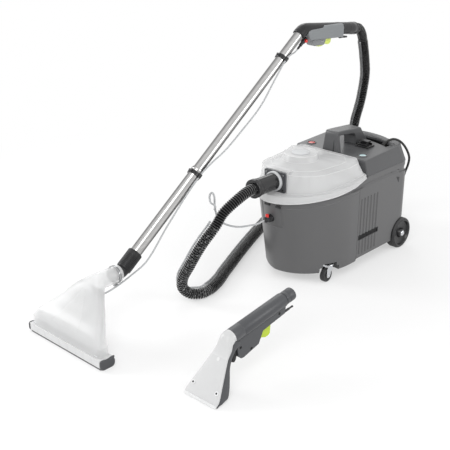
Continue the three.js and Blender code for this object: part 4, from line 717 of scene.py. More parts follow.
def rib_finish(name):
    """Black rubber whose rib crests get a painted glint, paler where they turn away from the view."""
    material = make_finish(name, DEEP_BLACK, 0.3, (1100, 0.05), wear=0, dust=0,
                           Specular_IOR_Level=0.2)
    tree = material.node_tree
    # Painted glint: the crests are painted grey by how far they turn from the view, where glossy ribs
    # would catch the lamps.
    crest = add(tree, "ShaderNodeAttribute", attribute_name="crest").outputs["Fac"]
    painted_light_facing = add(tree, "ShaderNodeLayerWeight", {"Blend": 0.5}).outputs["Facing"]
    glint_by_facing = remap(tree, painted_light_facing, (0.25, 0.75), (0.05, 1), soft=True)
    painted_glint = calculate(tree, "MULTIPLY", crest, glint_by_facing)
    return repainted(material, mix_colour(tree, painted_glint, DEEP_BLACK, grey(0.85)))


RIB_RUBBER = rib_finish("ribbed rubber")
print("materials", len(bpy.data.materials))

# %% [markdown]
# ## The mains lead
# A vacuum machine has a long round rubber lead. It leaves the recess behind the handle through
# a ribbed sleeve that keeps it from kinking, hangs over the rear rim, and the rest is wound
# for storage behind the machine, with the plug in line with the last turn. The lead is one
# tube along one route: the hanging stretch, then turns that lie beside and on each other.

# %% Route of the lead
LEAD_THICK = 8
LEAD_ROUTE = [
    (92, 187, 366.4), (92, 187, 370), (95, 191, 378), (103, 201, 387), (114, 214, 391),
    (126, 228, 385), (138, 244, 367), (147, 258, 340), (147, 269, 318), (139, 278, 290),
    (127, 285, 262), (108, 291, 200), (93, 296, 130), (80, 300, 60), (70, 305, 22), (60, 312, 8),
    (47, 322, 4.4), (33, 337, 4.2), (22, 356, 4.2)]
COIL_MIDDLE = (-60, 385)
TURN_PITCH = 9
TURN_RADII = [50.5 + TURN_PITCH * i for i in range(4)]
TURN_HEIGHTS = [4.3 + TURN_PITCH * i for i in range(4)]
TURNS = [(3, 0), (2, 0), (1, 0), (0, 0), (0, 1), (1, 1), (2, 1), (2, 2), (1, 2), (0, 2),
         (0, 3), (1, 3), (2, 3), (3, 3), (3, 2), (3, 1)]
COIL_START, COIL_END = math.radians(-10), math.radians(90)
PLUG_START = (-97.65, 463, 17)


def coil_points(step=math.radians(9)):
    """The turns one after another; each turn slips to the next place over its last eighth."""
    whole = 2 * math.pi
    total = (len(TURNS) - 1) * whole + (COIL_END - COIL_START)
    points = []
    for travelled in np.arange(0, total, step):
        turn, rest = divmod(travelled, whole)
        here, there = TURNS[int(turn)], TURNS[min(int(turn) + 1, len(TURNS) - 1)]
        share = np.clip((rest / whole - 0.86) / 0.14, 0, 1)
        share = share * share * (3 - 2 * share)
        radius = TURN_RADII[here[0]] * (1 - share) + TURN_RADII[there[0]] * share
        height = TURN_HEIGHTS[here[1]] * (1 - share) + TURN_HEIGHTS[there[1]] * share
        angle = COIL_START + travelled
        points.append((COIL_MIDDLE[0] + radius * math.cos(angle),
                       COIL_MIDDLE[1] + radius * math.sin(angle), height))
    return points


lead_end = [(-66, 462.5, 13.4), (-78, 462.8, 14.4), (-90, 463, 16.2), (-98, 463, 17),
            (-104, 463, 17)]
lead_points = placed(smooth_route(LEAD_ROUTE + coil_points() + lead_end, 6), "machine")
lead = make_object("mains_lead", *swept(lead_points, LEAD_THICK / 2 * MILLI, 12), RUBBER)
finish_piece(lead, "machine", ("mains_cord", "mains_coil"))
print("lead", round(route_length(lead_points), 3), "m")

# %% Sleeve at the exit
SLEEVE_LONG = 34
sleeve_points = smooth_route([(92, 187, 350.4), (92, 187, 358)] + LEAD_ROUTE[:5], 1)
sleeve_points = sleeve_points[:SLEEVE_LONG + 1]
along = np.linspace(0, 1, len(sleeve_points))
ribs = 0.7 * (np.sin(along * SLEEVE_LONG * 2 * math.pi / 4.5) > 0.2)
sleeve_radius = 8.6 - 3.4 * along + ribs * (along > 0.2)
relief = piece("lead_sleeve", swept(sleeve_points, sleeve_radius, 32), "machine", RUBBER,
               "cable_gland", sharp_angle=40)
print("sleeve", SLEEVE_LONG, "mm long,", len(sleeve_points), "rings")

# %% Plug and strap
PLUG_PROFILE = [(0, 0), (5, 0), (5.6, 3), (5.2, 5), (6.0, 8), (5.7, 10), (6.6, 13), (6.4, 15),
                (7.4, 18), (12, 22), (15.4, 26), (16.6, 31), (17, 36), (17, 48), (16.4, 52),
                (14.5, 53.6), (0, 54)]
PIN_PROFILE = [(0, 0), (2.4, 0), (2.4, 9), (2.1, 9.4), (2.1, 17.5), (1.4, 19.4), (0, 20)]
PINS_DEEP, PIN_ASIDE = 53, 9.5
plug = piece("lead_plug", turned(PLUG_PROFILE, PLUG_START, (-1, 0, 0), 48), "machine", RUBBER,
             "mains_plug")
pin_parts = [turned(PIN_PROFILE, np.add(PLUG_START, (-PINS_DEEP, side * PIN_ASIDE, 0)),
                    (-1, 0, 0), 20) for side in SIDES]
pins = piece("plug_pins", joined_parts(*pin_parts), "machine", STEEL)

STRAP_ANGLE = math.radians(205)          # where on the coil the strap sits
STRAP_OUT, STRAP_UP, STRAP_SQUARE = 19.6, 18.4, 0.35
BUNDLE_RADIUS = 64                       # middle of the bundle of turns
strap_loops = []
for share in np.linspace(0, 1, 41)[:-1]:
    a = 2 * math.pi * share
    out = STRAP_OUT * np.sign(math.cos(a)) * abs(math.cos(a)) ** STRAP_SQUARE
    up = STRAP_UP * np.sign(math.sin(a)) * abs(math.sin(a)) ** STRAP_SQUARE
    ring = []
    for across, thick in ((-7, 0), (7, 0), (7, 1.4), (-7, 1.4)):
        r = BUNDLE_RADIUS + out * (1 + thick / 20)
        z = STRAP_UP + up * (1 + thick / 20) - 0.2
        x = COIL_MIDDLE[0] + r * math.cos(STRAP_ANGLE) - across * math.sin(STRAP_ANGLE)
        y = COIL_MIDDLE[1] + r * math.sin(STRAP_ANGLE) + across * math.cos(STRAP_ANGLE)
        ring.append((x, y, max(z, 0.1)))
    strap_loops.append(np.array(ring))
strap = piece("coil_strap", skin(strap_loops, closed=True), "machine", SOFT_BLACK)
print("on the lead", [thing.name for thing in (relief, plug, pins, strap)])

# %% [markdown]
# ## The suction hose
# A suction hose is a spiral-ribbed rubber tube, here inside a thin clear sheath that also
# carries the spray hose along its side. It is made in two lengths that meet on the floor.
# The ribs are real geometry: the radius swells and shrinks along the route, and the crests are marked
# for the painted glint of their finish.

# %% Routes of the suction hose
HOSE_THICK = 35
HOSE_FRONT = [
    (0, -364.4, 341), (0, -378, 341), (-1, -398, 339), (-5, -436, 325), (-18, -487, 291),
    (-25, -512, 257), (-52, -550, 193), (-76, -576, 129), (-97, -585, 83), (-103, -579, 47),
    (-92, -558, 24), (-76, -528, 18.4), (-76, -487, 18.4), (-94, -430, 18.4), (-124, -368, 18.4),
    (-147, -318, 18.4), (-193, -218, 18.4), (-240, -110, 18.4), (-297, 30, 18.4), (-305, 50, 18.4)]
HOSE_REAR = [
    (-305.2, 50.5, 18.4), (-313, 70, 18.4), (-325, 120, 18.4), (-322, 215, 27), (-300, 290, 62),
    (-268, 350, 130), (-238, 392, 205), (-212, 420, 275), (-196, 425.5, 329), (-186, 420.5, 366),
    (-176, 418.5, 401), (-166, 416, 437), (-156, 412.5, 487), (-149, 409, 543), (-138, 379.5, 620),
    (-136.5, 367, 657), (-136, 354, 694), (-136, 332, 717), (-136, 304.5, 722.8)]
RIB_PITCH, RIB_DEEP = 7.0, 3.4
CREST_FROM = 0.72        # the share of a rib's height above which it gets the painted glint
BLOCK = 4000


def ribbed_hose(name, route, stands_for):
    """One length of the hose with its ribs."""
    points = smooth_route(route, RIB_PITCH / 10)
    run = np.linspace(0, route_length(points), len(points))
    wave = 0.5 + 0.5 * np.cos(2 * math.pi * run / RIB_PITCH)
    radii = HOSE_THICK / 2 - RIB_DEEP * (1 - wave ** 0.75)
    points = placed(points, "machine")
    hose = make_object(name, *swept(points, radii * MILLI, 28), RIB_RUBBER, 60)
    # Each point's share of the rib's crest, which the finish uses for its painted glint.
    crest = hose.data.attributes.new("crest", "FLOAT", "POINT")
    spots = np.array([v.co for v in hose.data.vertices])
    for start in range(0, len(spots), BLOCK):        # in blocks, to keep the table small
        block = spots[start:start + BLOCK]
        near = np.linalg.norm(block[:, None] - points[None], axis=2).argmin(axis=1)
        for i, k in enumerate(near):
            crest.data[start + i].value = float(max(0.0, wave[k] - CREST_FROM) / (1 - CREST_FROM))
    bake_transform(hose)
    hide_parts(stands_for)
    return hose, points


hose_front, front_points = ribbed_hose("suction_hose_lower", HOSE_FRONT,
                                       "suction_hose_front")
hose_rear, rear_points = ribbed_hose("suction_hose_upper", HOSE_REAR,
                                     "suction_hose_rear")
print("hose", round(route_length(front_points), 3), round(route_length(rear_points), 3), "m")

# %% Sheath round the hose and the spray hose beside it
SHEATH_FRONT_SIDE, SHEATH_FRONT_SPAN = np.array((-0.75, -0.1, 0.65)), (0.158, 1.0)
SHEATH_REAR_SIDE, SHEATH_REAR_SPAN = np.array((0.15, -0.95, 0.2)), (0.03, 0.92)
SHEATH_RADIUS, SPRAY_RADIUS, SPRAY_OUT = 18.3, 3, 21.4


def beside(route, side, span, step):
    """Points of a stretch of the hose, and the direction to its outer side at each."""
    points = smooth_route(route, step)
    run = np.linspace(0, 1, len(points))
    points = points[(run >= span[0]) & (run <= span[1])]
    tangents = np.array([frame[0] for frame in travelling_frames(points)])
    out = side - tangents * (tangents @ side)[:, None]
    return points, tangents, out / np.linalg.norm(out, axis=1)[:, None]


def sheath_section(large, small, reach, count=36):
    """Outline round a large and a small circle, as (outwards, across) pairs."""
    touch = math.acos((large - small) / reach)
    most = int(count * 0.7)
    big = np.linspace(touch, 2 * math.pi - touch, most)
    little = np.linspace(-touch, touch, count - most)
    return ([(large * math.cos(a), large * math.sin(a)) for a in big]
            + [(reach + small * math.cos(a), small * math.sin(a)) for a in little])


def sheath(name, route, side, span, material):
    """A length of the sheath, a little puckered, never below the floor."""
    points, tangents, out = beside(route, side, span, 5)
    loops = []
    for i, (point, tangent, outward) in enumerate(zip(points, tangents, out)):
        across = np.cross(tangent, outward)
        pull = 1 + 0.012 * math.sin(i * 1.7) + 0.008 * math.sin(i * 0.61)
        loop = [point + pull * (o * outward + a * across)
                for o, a in sheath_section(SHEATH_RADIUS, SPRAY_RADIUS + 0.9, SPRAY_OUT)]
        loops.append([(x, y, max(z, 0.1)) for x, y, z in loop])
    return make_object(name, *placed_part(skin(loops, close_ends=False), "machine"), material, 60)


def film_finish(name, colour, alpha, bright, roughness):
    """Thin film: see-through by alpha, and up to bright where the creases gather."""
    material = bpy.data.materials.new(name)
    tree = node_tree(material)
    creases = use_group(tree, cloud_group, Scale=150, Contrast=1.6).outputs["Mask"]
    dressed(tree, {"Base Color": (*colour, 1), "Roughness": roughness, "Specular IOR Level": 0.25,
                   "Alpha": remap(tree, creases, (0.6, 0.85), (alpha, bright)),
                   "Normal": bumped(tree, creases, 0.35, 0.002)})
    return material


CLEAR_FILM = film_finish("clear film", (0.6, 0.605, 0.61), 0.015, 0.4, 0.1)
DARK_FILM = film_finish("dark film", (0.006, 0.006, 0.0065), 0.4, 0.7, 0.3)
STRAND_SPLIT = 0.47      # where on the front length the dark sheath takes over from the clear
front_clear = sheath("sheath_clear", HOSE_FRONT, SHEATH_FRONT_SIDE,
                     (SHEATH_FRONT_SPAN[0], STRAND_SPLIT), CLEAR_FILM)
front_dark = sheath("sheath_floor", HOSE_FRONT, SHEATH_FRONT_SIDE,
                    (STRAND_SPLIT, SHEATH_FRONT_SPAN[1]), DARK_FILM)
rear_sheath = sheath("sheath_rear", HOSE_REAR, SHEATH_REAR_SIDE, SHEATH_REAR_SPAN, DARK_FILM)


def spray_beside(name, route, side, span):
    """The spray hose in the sheath's small fold."""
    points, _, out = beside(route, side, span, 4)
    line = placed(points + SPRAY_OUT * out, "machine")
    return make_object(name, *swept(line, SPRAY_RADIUS * MILLI, 12), HOSE_CLEAR, 60)


front_spray = spray_beside("spray_hose_lower", HOSE_FRONT, SHEATH_FRONT_SIDE, SHEATH_FRONT_SPAN)
rear_spray = spray_beside("spray_hose_upper", HOSE_REAR, SHEATH_REAR_SIDE, SHEATH_REAR_SPAN)
for thing in (front_clear, front_dark, front_spray):
    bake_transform(thing)
for thing in (rear_sheath, rear_spray):
    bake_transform(thing)
print("sheath", [thing.name for thing in (front_clear, front_dark, rear_sheath)])

# %% [markdown]
# ## The spray hoses
# Cleaning solution runs in a thin clear hose: from the coupling on the machine in a small loop
# to the sheath, and on the wand from its trigger along the tubes to the jet. Both are plain
# round tubes of a slightly milky plastic.

# %% Spray hose at the machine
SPRAY_ROUTE = [
    (0, -321.7, 222), (0, -325.7, 222), (-8, -342, 215), (-24, -362, 211), (-40, -395, 212),
    (-60, -425, 222), (-68, -452, 245), (-63, -474, 280), (-62, -479, 305), (-63, -480, 331),
    (-70, -481, 341), (-77, -483, 334), (-76, -486, 320), (-68, -489, 311), (-59, -490, 309.5),
    (-51, -490.5, 308.5), (-46, -493.4, 303.2), (-46.4, -497.6, 296)]
spray_points = placed(smooth_route(SPRAY_ROUTE, 3), "machine")
spray = make_object("spray_hose_machine", *swept(spray_points, SPRAY_RADIUS * MILLI, 16),
                    HOSE_CLEAR, 60)
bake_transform(spray)
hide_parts("spray_hose")
print("front spray hose", round(route_length(spray_points), 3), "m")

# %% Spray hose on the wand
WAND_SPRAY_THICK = 5
WAND_SPRAY_ROUTE = [
    (0, 994.4, 692.9), (0.6, 990, 691), (5, 974, 686.6), (13, 955, 686.5), (20, 936, 686.6),
    (22.3, 919.3, 681.2), (22.3, 903.1, 669.4), (22.3, 860, 624), (23, 788, 547), (24, 700, 487),
    (24, 623, 440), (24, 565, 415), (24, 524.5, 394.3), (24, 508.3, 382.6), (24, 470, 353),
    (24, 377, 268), (18, 292, 176), (12, 240, 150), (10.5, 187, 134), (5, 150, 124),
    (1.5, 118, 121), (0, 101.9, 106)]
wand_spray_points = placed(smooth_route(WAND_SPRAY_ROUTE, 4), "wand")
wand_spray = make_object("spray_hose_wand",
                         *swept(wand_spray_points, WAND_SPRAY_THICK / 2 * MILLI, 16),
                         HOSE_CLEAR, 60)
finish_piece(wand_spray, "wand", "wand_spray_hose")
print("spray hoses", [round(route_length(p), 3) for p in (spray_points, wand_spray_points)], "m")

# %% [markdown]
# ## The hull
# The hull is one large moulding: an elliptic nose, straight ribbed sides and round rear
# corners. It is made as one skin of fine level loops, outside up and inside down again. The
# ribs, the recessed front panel, the belt line and the mould seam are small moves of the
# points along the surface, which keeps them crisp and part of the same shell.

# %% Sizes of the hull
HULL_HALF, HULL_REAR, HULL_CORNER = 157, 270, 50
NOSE_START, NOSE_TOP, NOSE_BOTTOM = -62, -305, -260
BOTTOM_NOSE, BOTTOM_SIDE, BOTTOM_STEP = 30, 39, -34
LID_SEAT, SEAM = 305, 318
RIB_COUNT, RIB_GAP, RIB_WIDE, RIB_DEPTH, RIB_FIRST = 6, 18, 8, 2.4, -20
RIB_LOW, RIB_HIGH = 52, 250
SLOT = (-28, 88, 105, 122)
WHEEL_AT, WHEEL_RADIUS = 233, 54.6
CASTERS = {"left": 132, "right": -96}
CASTER_AT, CASTER_TRAIL, CASTER_RADIUS = -150, 13, 22.5
KNOB_AT, MID_AT, LID_BACK = -148, -62, 8
LEDGE = (307, 309, 319, 329)
SKIRT = (282, 293, 304, 316)


def soft_step(value, low, high):
    share = np.clip((np.asarray(value, float) - low) / (high - low), 0, 1)
    return share * share * (3 - 2 * share)


def window(value, low, high, soft):
    """1 between two numbers, falling to 0 over a soft distance outside them."""
    return soft_step(value, low - soft, low) * (1 - soft_step(value, high, high + soft))


def line_height(y, heights):
    """Height of a line of the lid at some Y, from the nose, the knob, midway and the back."""
    return np.interp(y, (-311, KNOB_AT, MID_AT, LID_BACK - 10), heights)


def spaced(marks, step):
    """The marks, with points between them no further apart than a step."""
    marks = sorted(set(marks))
    filled = []
    for a, b in zip(marks, marks[1:]):
        count = max(1, int(math.ceil((b - a) / step)))
        filled += list(np.linspace(a, b, count, endpoint=False))
    return np.array(filled + [marks[-1]])


def nose_line(half, reach, right_roundness, steps):
    """Half an ellipse round the front; below 2, the roundness makes its right half slimmer."""
    angles = math.pi * (1 + np.linspace(0, 1, steps + 1))
    c, s = np.cos(angles), np.abs(np.sin(angles))
    power = np.where(c < 0, 2 / right_roundness, 1)
    return half * np.sign(c) * np.abs(c) ** power, -reach * s ** power


SIDE_MARKS = [NOSE_START, -35, -34, -33.4, -32.6, -32, SLOT[0] - 0.3, SLOT[0] + 0.3, SLOT[1] - 0.3,
              SLOT[1] + 0.3, HULL_REAR - HULL_CORNER]
for rib in range(RIB_COUNT):
    middle = RIB_FIRST + rib * RIB_GAP
    SIDE_MARKS += [middle + d for d in (-5, -4, -3, 3, 4, 5)]
SIDE_LINE = spaced(SIDE_MARKS, 5)


def hull_line(inset, rise, steps=150):
    """One level line of the hull, from the right end of the nose round the front."""
    front = NOSE_BOTTOM + (NOSE_TOP - NOSE_BOTTOM) * rise
    r = HULL_HALF - inset
    x, y = nose_line(r, NOSE_START - front - inset, 1.55 + 0.2 * rise, steps)
    line = list(zip(x, NOSE_START + y))
    line += [(r, v) for v in SIDE_LINE[1:-1]]
    round_ = max(HULL_CORNER - inset, 2)
    for side, begin in ((1, 0), (-1, math.pi / 2)):
        for a in begin + np.linspace(0, math.pi / 2, 13):
            line.append((side * (r - round_) + round_ * math.cos(a),
                         HULL_REAR - inset - round_ + round_ * math.sin(a)))
    line += [(-r, v) for v in SIDE_LINE[1:-1][::-1]]
    return np.array(line)


def outward(line):
    """Direction out of a closed level line at each of its points."""
    run = np.roll(line, -1, 0) - np.roll(line, 1, 0)
    out = np.column_stack([run[:, 1], -run[:, 0]])
    return out / np.linalg.norm(out, axis=1)[:, None]


print("hull", 2 * HULL_HALF, "mm wide,", HULL_REAR - NOSE_TOP, "mm long")

# %% Small forms on the hull's face
def rounded_box(u, v, half_u, half_v, corner, soft):
    """1 inside a rectangle with round corners, 0 a soft distance outside it."""
    du = np.maximum(np.abs(u) - (half_u - corner), 0)
    dv = np.maximum(np.abs(v) - (half_v - corner), 0)
    return 1 - soft_step(np.hypot(du, dv) - corner, -soft / 2, soft / 2)


def hull_depth(x, y, z):
    """How far the face lies behind the plain hull, in millimetres."""
    side = (np.abs(x) > HULL_HALF - 12) & (y > NOSE_START)
    ribs = np.zeros_like(x)
    for rib in range(RIB_COUNT):
        middle = RIB_FIRST + rib * RIB_GAP
        ribs = np.maximum(ribs, rounded_box(y - middle, z - (RIB_LOW + RIB_HIGH) / 2, RIB_WIDE / 2,
                                            (RIB_HIGH - RIB_LOW) / 2, 3.6, 1))
    depth = RIB_DEPTH * ribs
    seam = window(y, -33.4, -32.6, 0.7) * (z < 285)
    depth = np.maximum(depth, 1.3 * seam)
    slot = window(y, SLOT[0] + 0.3, SLOT[1] - 0.3, 0.6) * window(z, SLOT[2] + 0.3, SLOT[3] - 0.3,
                                                                 0.6)
    depth = np.maximum(depth, 12 * slot) * side
    front = y < NOSE_START - 60
    panel = rounded_box(x, z - 239, 42, 44, 12, 2.4)
    depth = np.maximum(depth, 2.6 * panel * front)
    belt = 0.9 * window(z, 262.4 + 0.055 * (y + 305), 263.6 + 0.055 * (y + 305), 1.0)
    depth = np.maximum(depth, belt * (y < -34))
    shoulder = 285 + np.interp(y, (-40, 0, 60, 140, 220, 270), (0.5, 3, 6, 7, 0, -4))
    waist = 5 * soft_step(z, shoulder, shoulder + 1.6) * (1 - 0.4 * soft_step(z, 296, 303))
    waist = np.where(y < NOSE_START - 20, 3 * soft_step(z, 285, 288), waist)
    return np.maximum(depth, waist)


LEVEL_MARKS = [30, 31, 33, 35, 38, 39, 48, 49, 50, 52, 53, 54, SLOT[2] - 0.3, SLOT[2] + 0.3,
               SLOT[3] - 0.3, SLOT[3] + 0.3, 192, 198, 200, 248, 249, 250, 251, 252, 254, 278, 283,
               285, 286, 287, 288, 296, 303]
HULL_LEVELS = np.sort(np.concatenate([spaced(LEVEL_MARKS, 5), np.arange(240, 285, 1.2),
                                      np.arange(190, 206, 1.5)]))


def hull_rim(y):
    """Height of the hull's upper edge, where the lid or the cover sits."""
    seat = np.minimum(line_height(y, LEDGE) - 3.5, 315.3) - 0.3
    return np.where(y < 9.7, seat, SEAM - 0.3)


def hull_outside(level):
    """Points of the outer face at a level; the levels stretch a little to reach foot and rim."""
    rise = float(np.clip((level - BOTTOM_NOSE) / (LID_SEAT - BOTTOM_NOSE), 0, 1))
    foot_share = np.clip((level - BOTTOM_NOSE) / 8, 0, 1)
    inset = 8 * (1 - math.sqrt(1 - (1 - foot_share) ** 2))
    line = hull_line(inset, rise)
    z = np.full(len(line), float(level))
    lift = (BOTTOM_SIDE - BOTTOM_NOSE) * soft_step(line[:, 1], BOTTOM_STEP, BOTTOM_STEP + 3)
    z += lift * np.clip(1 - (level - BOTTOM_NOSE) / 20, 0, 1)
    top_share = np.clip((level - 288) / (303 - 288), 0, 1)
    z += top_share * (hull_rim(line[:, 1]) - 303)
    depth = hull_depth(line[:, 0], line[:, 1], z)
    moved = line - outward(line) * depth[:, None]
    return np.column_stack([moved, z])


def hull_inside(level, inset):
    """Points of the inner face at a level."""
    rise = float(np.clip((level - BOTTOM_NOSE) / (LID_SEAT - BOTTOM_NOSE), 0, 1))
    line = hull_line(inset, rise)
    z = np.full(len(line), float(level))
    if level > 300:
        z = hull_rim(line[:, 1])
    return np.column_stack([line, z])


hull_loops = [hull_outside(level) for level in HULL_LEVELS]
hull_loops += [hull_inside(303, 4.2), hull_inside(303, 8), hull_inside(290, 8), hull_inside(60, 8),
               hull_inside(48, 13)]
hull = make_object("hull", *placed_part(skin(hull_loops), "machine"), GREY_BODY, 28)
print("hull", len(hull.data.polygons), "faces")

# %% Wheel wells, caster pockets and the shelf inside
POCKET = [(0, 0), (37, 0), (37, 34), (35.5, 35.5), (27, 36.5), (27, 48), (0, 48)]


def at_wheel(side, x):
    """A place on the axle, and the way out on that side."""
    return (side * x, WHEEL_AT, WHEEL_RADIUS), (side, 0, 0)


def round_bar(radius, length, at, direction, sides=64):
    """A plain cylinder from a place on."""
    return turned([(0, 0), (radius, 0), (radius, length), (0, length)], at, direction, sides)


cutters = [cutter("well", round_bar(60.6, 60, *at_wheel(side, 127), 96)) for side in SIDES]
cutters += [cutter("pocket", turned(POCKET, (x, CASTER_AT, 13), (0, 0, 1)))
            for x in CASTERS.values()]
cutters.append(cutter("coupling hole", round_bar(13.3, 80, (0, -345, 222), (0, 1, 0), 48)))
boolean(hull, cutters)
finish_piece(hull, "machine", "tank_housing")

shelf_line = [p for p in hull_line(8.2, 0.43) if p[1] < 2]
PEDESTAL = [(44, 0), (50, 0), (50, 68), (44, 68), (44, 0)]
shelf_parts = [plate(shelf_line, (148, 152), axis="z"), box_points(-149, 149, 2, 6, 46, 305),
               turned(PEDESTAL, (0, 130, 41.5), (0, 0, 1), 72)]
WELL_LINER = [(0, 0), (64.6, 0), (64.6, 29), (61, 29), (61, 4), (0, 4)]
POCKET_LINER = [(27.4, 1), (36.8, 0), (36.8, 2), (31, 3), (31, 15), (0, 15), (0, 12), (27.4, 12)]
liners = [turned(WELL_LINER, *at_wheel(side, 123), 96) for side in SIDES]
liners += [turned(POCKET_LINER, (x, CASTER_AT, 49), (0, 0, 1)) for x in CASTERS.values()]
piece("hull_inside", joined_parts(*shelf_parts), "machine", GREY_BODY)
wells = make_object("wheel_wells", *placed_part(joined_parts(*liners), "machine"), BLACK_PLASTIC)
room_loops = []
for level in (40, 90, 150):
    line = hull_line(1.5, (level - 30) / 275)
    room_loops.append(np.column_stack([line, np.full(len(line), float(level))]))
room_loops[0][:, 2] = np.where(room_loops[0][:, 1] < BOTTOM_STEP, 31.0, 40.0)
boolean(wells, [cutter("room in the hull", skin(room_loops))], "INTERSECT")
finish_piece(wells, "machine")
print("cuts in the hull", len(cutters), "liners", len(liners))

# %% Latch marks at the rear corners
marks = []
for side in SIDES:
    for outline, face in (([(190, 291), (201, 290), (202, 311), (192, 312.5)], 152.3),
                          ([(147, 294), (178, 301), (177, 304), (164, 309), (158, 303)], 152.3),
                          ([(179, 275.5), (199, 271), (197, 253), (193, 254)], 157.1)):
        marks.append(moved(plate(outline, 0.5), side * (face - 0.3)))
for x, low, high in ((-6, 268, 278), (38, 268, 274)):
    marks.append(box_points(x - 9, x + 9, -303, -297, low, high))
piece("latch_marks", joined_parts(*marks), "machine", BLACK_PLASTIC)
print("latch marks", len(marks))

# %% [markdown]
# ## Air outlets
# The black insert in each side is a row of thin slanted blades in a frame. Each blade is a
# small plate, leaned so that rain and fingers stay out.

# %% Louvred inserts
for side, name in ((1, "left"), (-1, "right")):
    y0, y1, z0, z1 = SLOT[0] + 0.5, SLOT[1] - 0.5, SLOT[2] + 0.5, SLOT[3] - 0.5
    outer, inner_x = side * 156.2, side * 146
    parts = [box_points(*sorted((inner_x, inner_x + side)), y0, y1, z0, z1)]
    for a, b in ((z0, z0 + 1.4), (z1 - 1.4, z1)):
        parts.append(box_points(*sorted((inner_x, outer)), y0, y1, a, b))
    for a, b in ((y0, y0 + 3), (y1 - 3, y1), (29, 31)):
        parts.append(box_points(*sorted((inner_x, outer)), a, b, z0, z1))
    for blade in range(4):
        z = z0 + 2.6 + blade * 3.5
        points, faces = box_points(*sorted((inner_x, outer - side)), y0, y1, z, z + 1.1)
        points[:, 2] -= 0.22 * np.abs(points[:, 0] - inner_x)
        parts.append((points, faces))
    piece(f"air_outlet_{name}", joined_parts(*parts), "machine", BLACK_PLASTIC, f"side_vent_{name}")
print("plates in each outlet", len(parts))

# %% [markdown]
# ## Wheels, axle and casters
# The rear wheels are dished mouldings with a soft tread, on a steel axle with a domed cap.
# The small wheels run in pressed steel forks that turn about a stem. All are turned
# profiles; the forks are bent plates with rounded edges.

# %% Rear wheels and axle
WHEEL_WIDE, WHEEL_OUT = 34, 165
rim_profile = [(5.4, 0), (13, 0), (15, 5), (38, 5), (42, 1.5), (45, 0), (48.5, 0), (48.5, 34),
               (45.5, 34), (44, 33), (41, 26), (36, 24.5), (22, 22.6), (18, 24), (15.4, 31),
               (14, 34), (5.4, 34), (5.4, 0)]
tread_profile = [(48.6, 0.6), (50, 0.2), (53.2, 3), (54.6, 6.5)]
for at in 9 + 4.6 * np.arange(4):
    tread_profile += [(54.6, at), (53.6, at + 0.5), (53.6, at + 1.5), (54.6, at + 2)]
tread_profile += [(54.6, 27.5), (53.2, 31), (50, 33.8), (48.6, 33.4), (48.6, 0.6)]
for side, name in ((1, "left"), (-1, "right")):
    start = at_wheel(side, WHEEL_OUT - WHEEL_WIDE)
    wheel = f"rear_wheel_{name}"
    piece(f"wheel_{name}", turned(rim_profile, *start, 96), "machine", BLACK_PLASTIC, wheel,
          body=wheel)
    piece(f"wheel_tread_{name}", turned(tread_profile, *start, 128), "machine", TYRE,
          body=wheel)

AXLE_CAP = [(0, 0), (9.6, 0), (10, 0.6), (9.8, 1.8), (8.4, 3.4), (5.6, 4.6), (0, 5)]
axle_parts = [round_bar(5, 332.6, (-166.3, WHEEL_AT, WHEEL_RADIUS), (1, 0, 0), 32)]
axle_parts += [turned(AXLE_CAP, *at_wheel(side, 165.3), 48) for side in SIDES]
piece("axle", joined_parts(*axle_parts), "machine", CHROME, "rear_axle")
print("rear wheels", 2 * WHEEL_RADIUS, "mm across")

# %% Casters
ARM = [(10, 57), (6, 58), (-14, 58), (-17, 56), (-22, 36), (-21.5, 20), (-19, 16), (-13, 14.5),
       (-7, 16), (-4.5, 20), (-1, 34), (6, 48), (10, 54)]
CROWN = [(0, 0), (14.6, 0), (15, 0.8), (14, 2.6), (9, 3), (5, 3.4), (5, 22.6), (4, 23), (0, 23)]
PIN = [(0, 0), (4.4, 0), (4.6, 1.2), (3, 1.4), (3, 24.6), (4.6, 24.8), (4.4, 26), (0, 26)]
ROLLER = [(3.4, 0), (8, 0), (8.6, 1.4), (10, 2), (15.6, 2), (16.6, 0.4), (20, 0), (21.6, 1),
          (22.4, 3), (22.5, 5), (22.5, 13), (22.4, 15), (21.6, 17), (20, 18), (16.6, 17.6),
          (15.6, 16), (10, 16), (8.6, 16.6), (8, 18), (3.4, 18), (3.4, 0)]
for name, x in CASTERS.items():
    axis_at = CASTER_AT - CASTER_TRAIL
    arms = [moved(plate(ARM, 1), x + side * 11, CASTER_AT) for side in SIDES]
    fork_parts = [*arms, turned(CROWN, (x, CASTER_AT, 55), (0, 0, 1), 48),
                  box_points(x - 12, x + 12, CASTER_AT - 14, CASTER_AT + 8, 55, 58),
                  turned(PIN, (x - 13, axis_at, CASTER_RADIUS), (1, 0, 0), 32)]
    fork, wheel = f"caster_fork_{name}", f"caster_wheel_{name}"
    rounded(piece(f"caster_frame_{name}", joined_parts(*fork_parts), "machine", CHROME, fork,
                  body=fork), 0.7, 2, 40)
    piece(f"caster_roller_{name}", turned(ROLLER, (x - 9, axis_at, CASTER_RADIUS), (1, 0, 0), 72),
          "machine", TYRE, wheel, body=wheel)
print("casters at X", CASTERS)

# %% [markdown]
# ## The top cover
# The cover over the motor is a shallow box with large rear corners. Its top falls into a
# recess for the lead, and behind that a low rim rises. It is a skin of level loops; the
# recess is cut out and the rim is a second skin that follows the same bowed line.

# %% Cover shell
COVER_FRONT, COVER_LOW, COVER_HIGH = 10, 155, 141
COVER_REAR_LOW, COVER_REAR_HIGH, COVER_ROUND = 268, 250, 48
RIM_HALF, RIM_TOP, STOW_FLOOR = 132, 387, 350
SWITCH_X, SWITCH_Y = 105, 47


def cover_top(y):
    """Height of the cover, which rises towards the rear."""
    return 369 + 8 * (y - COVER_FRONT) / (COVER_REAR_HIGH - COVER_FRONT)


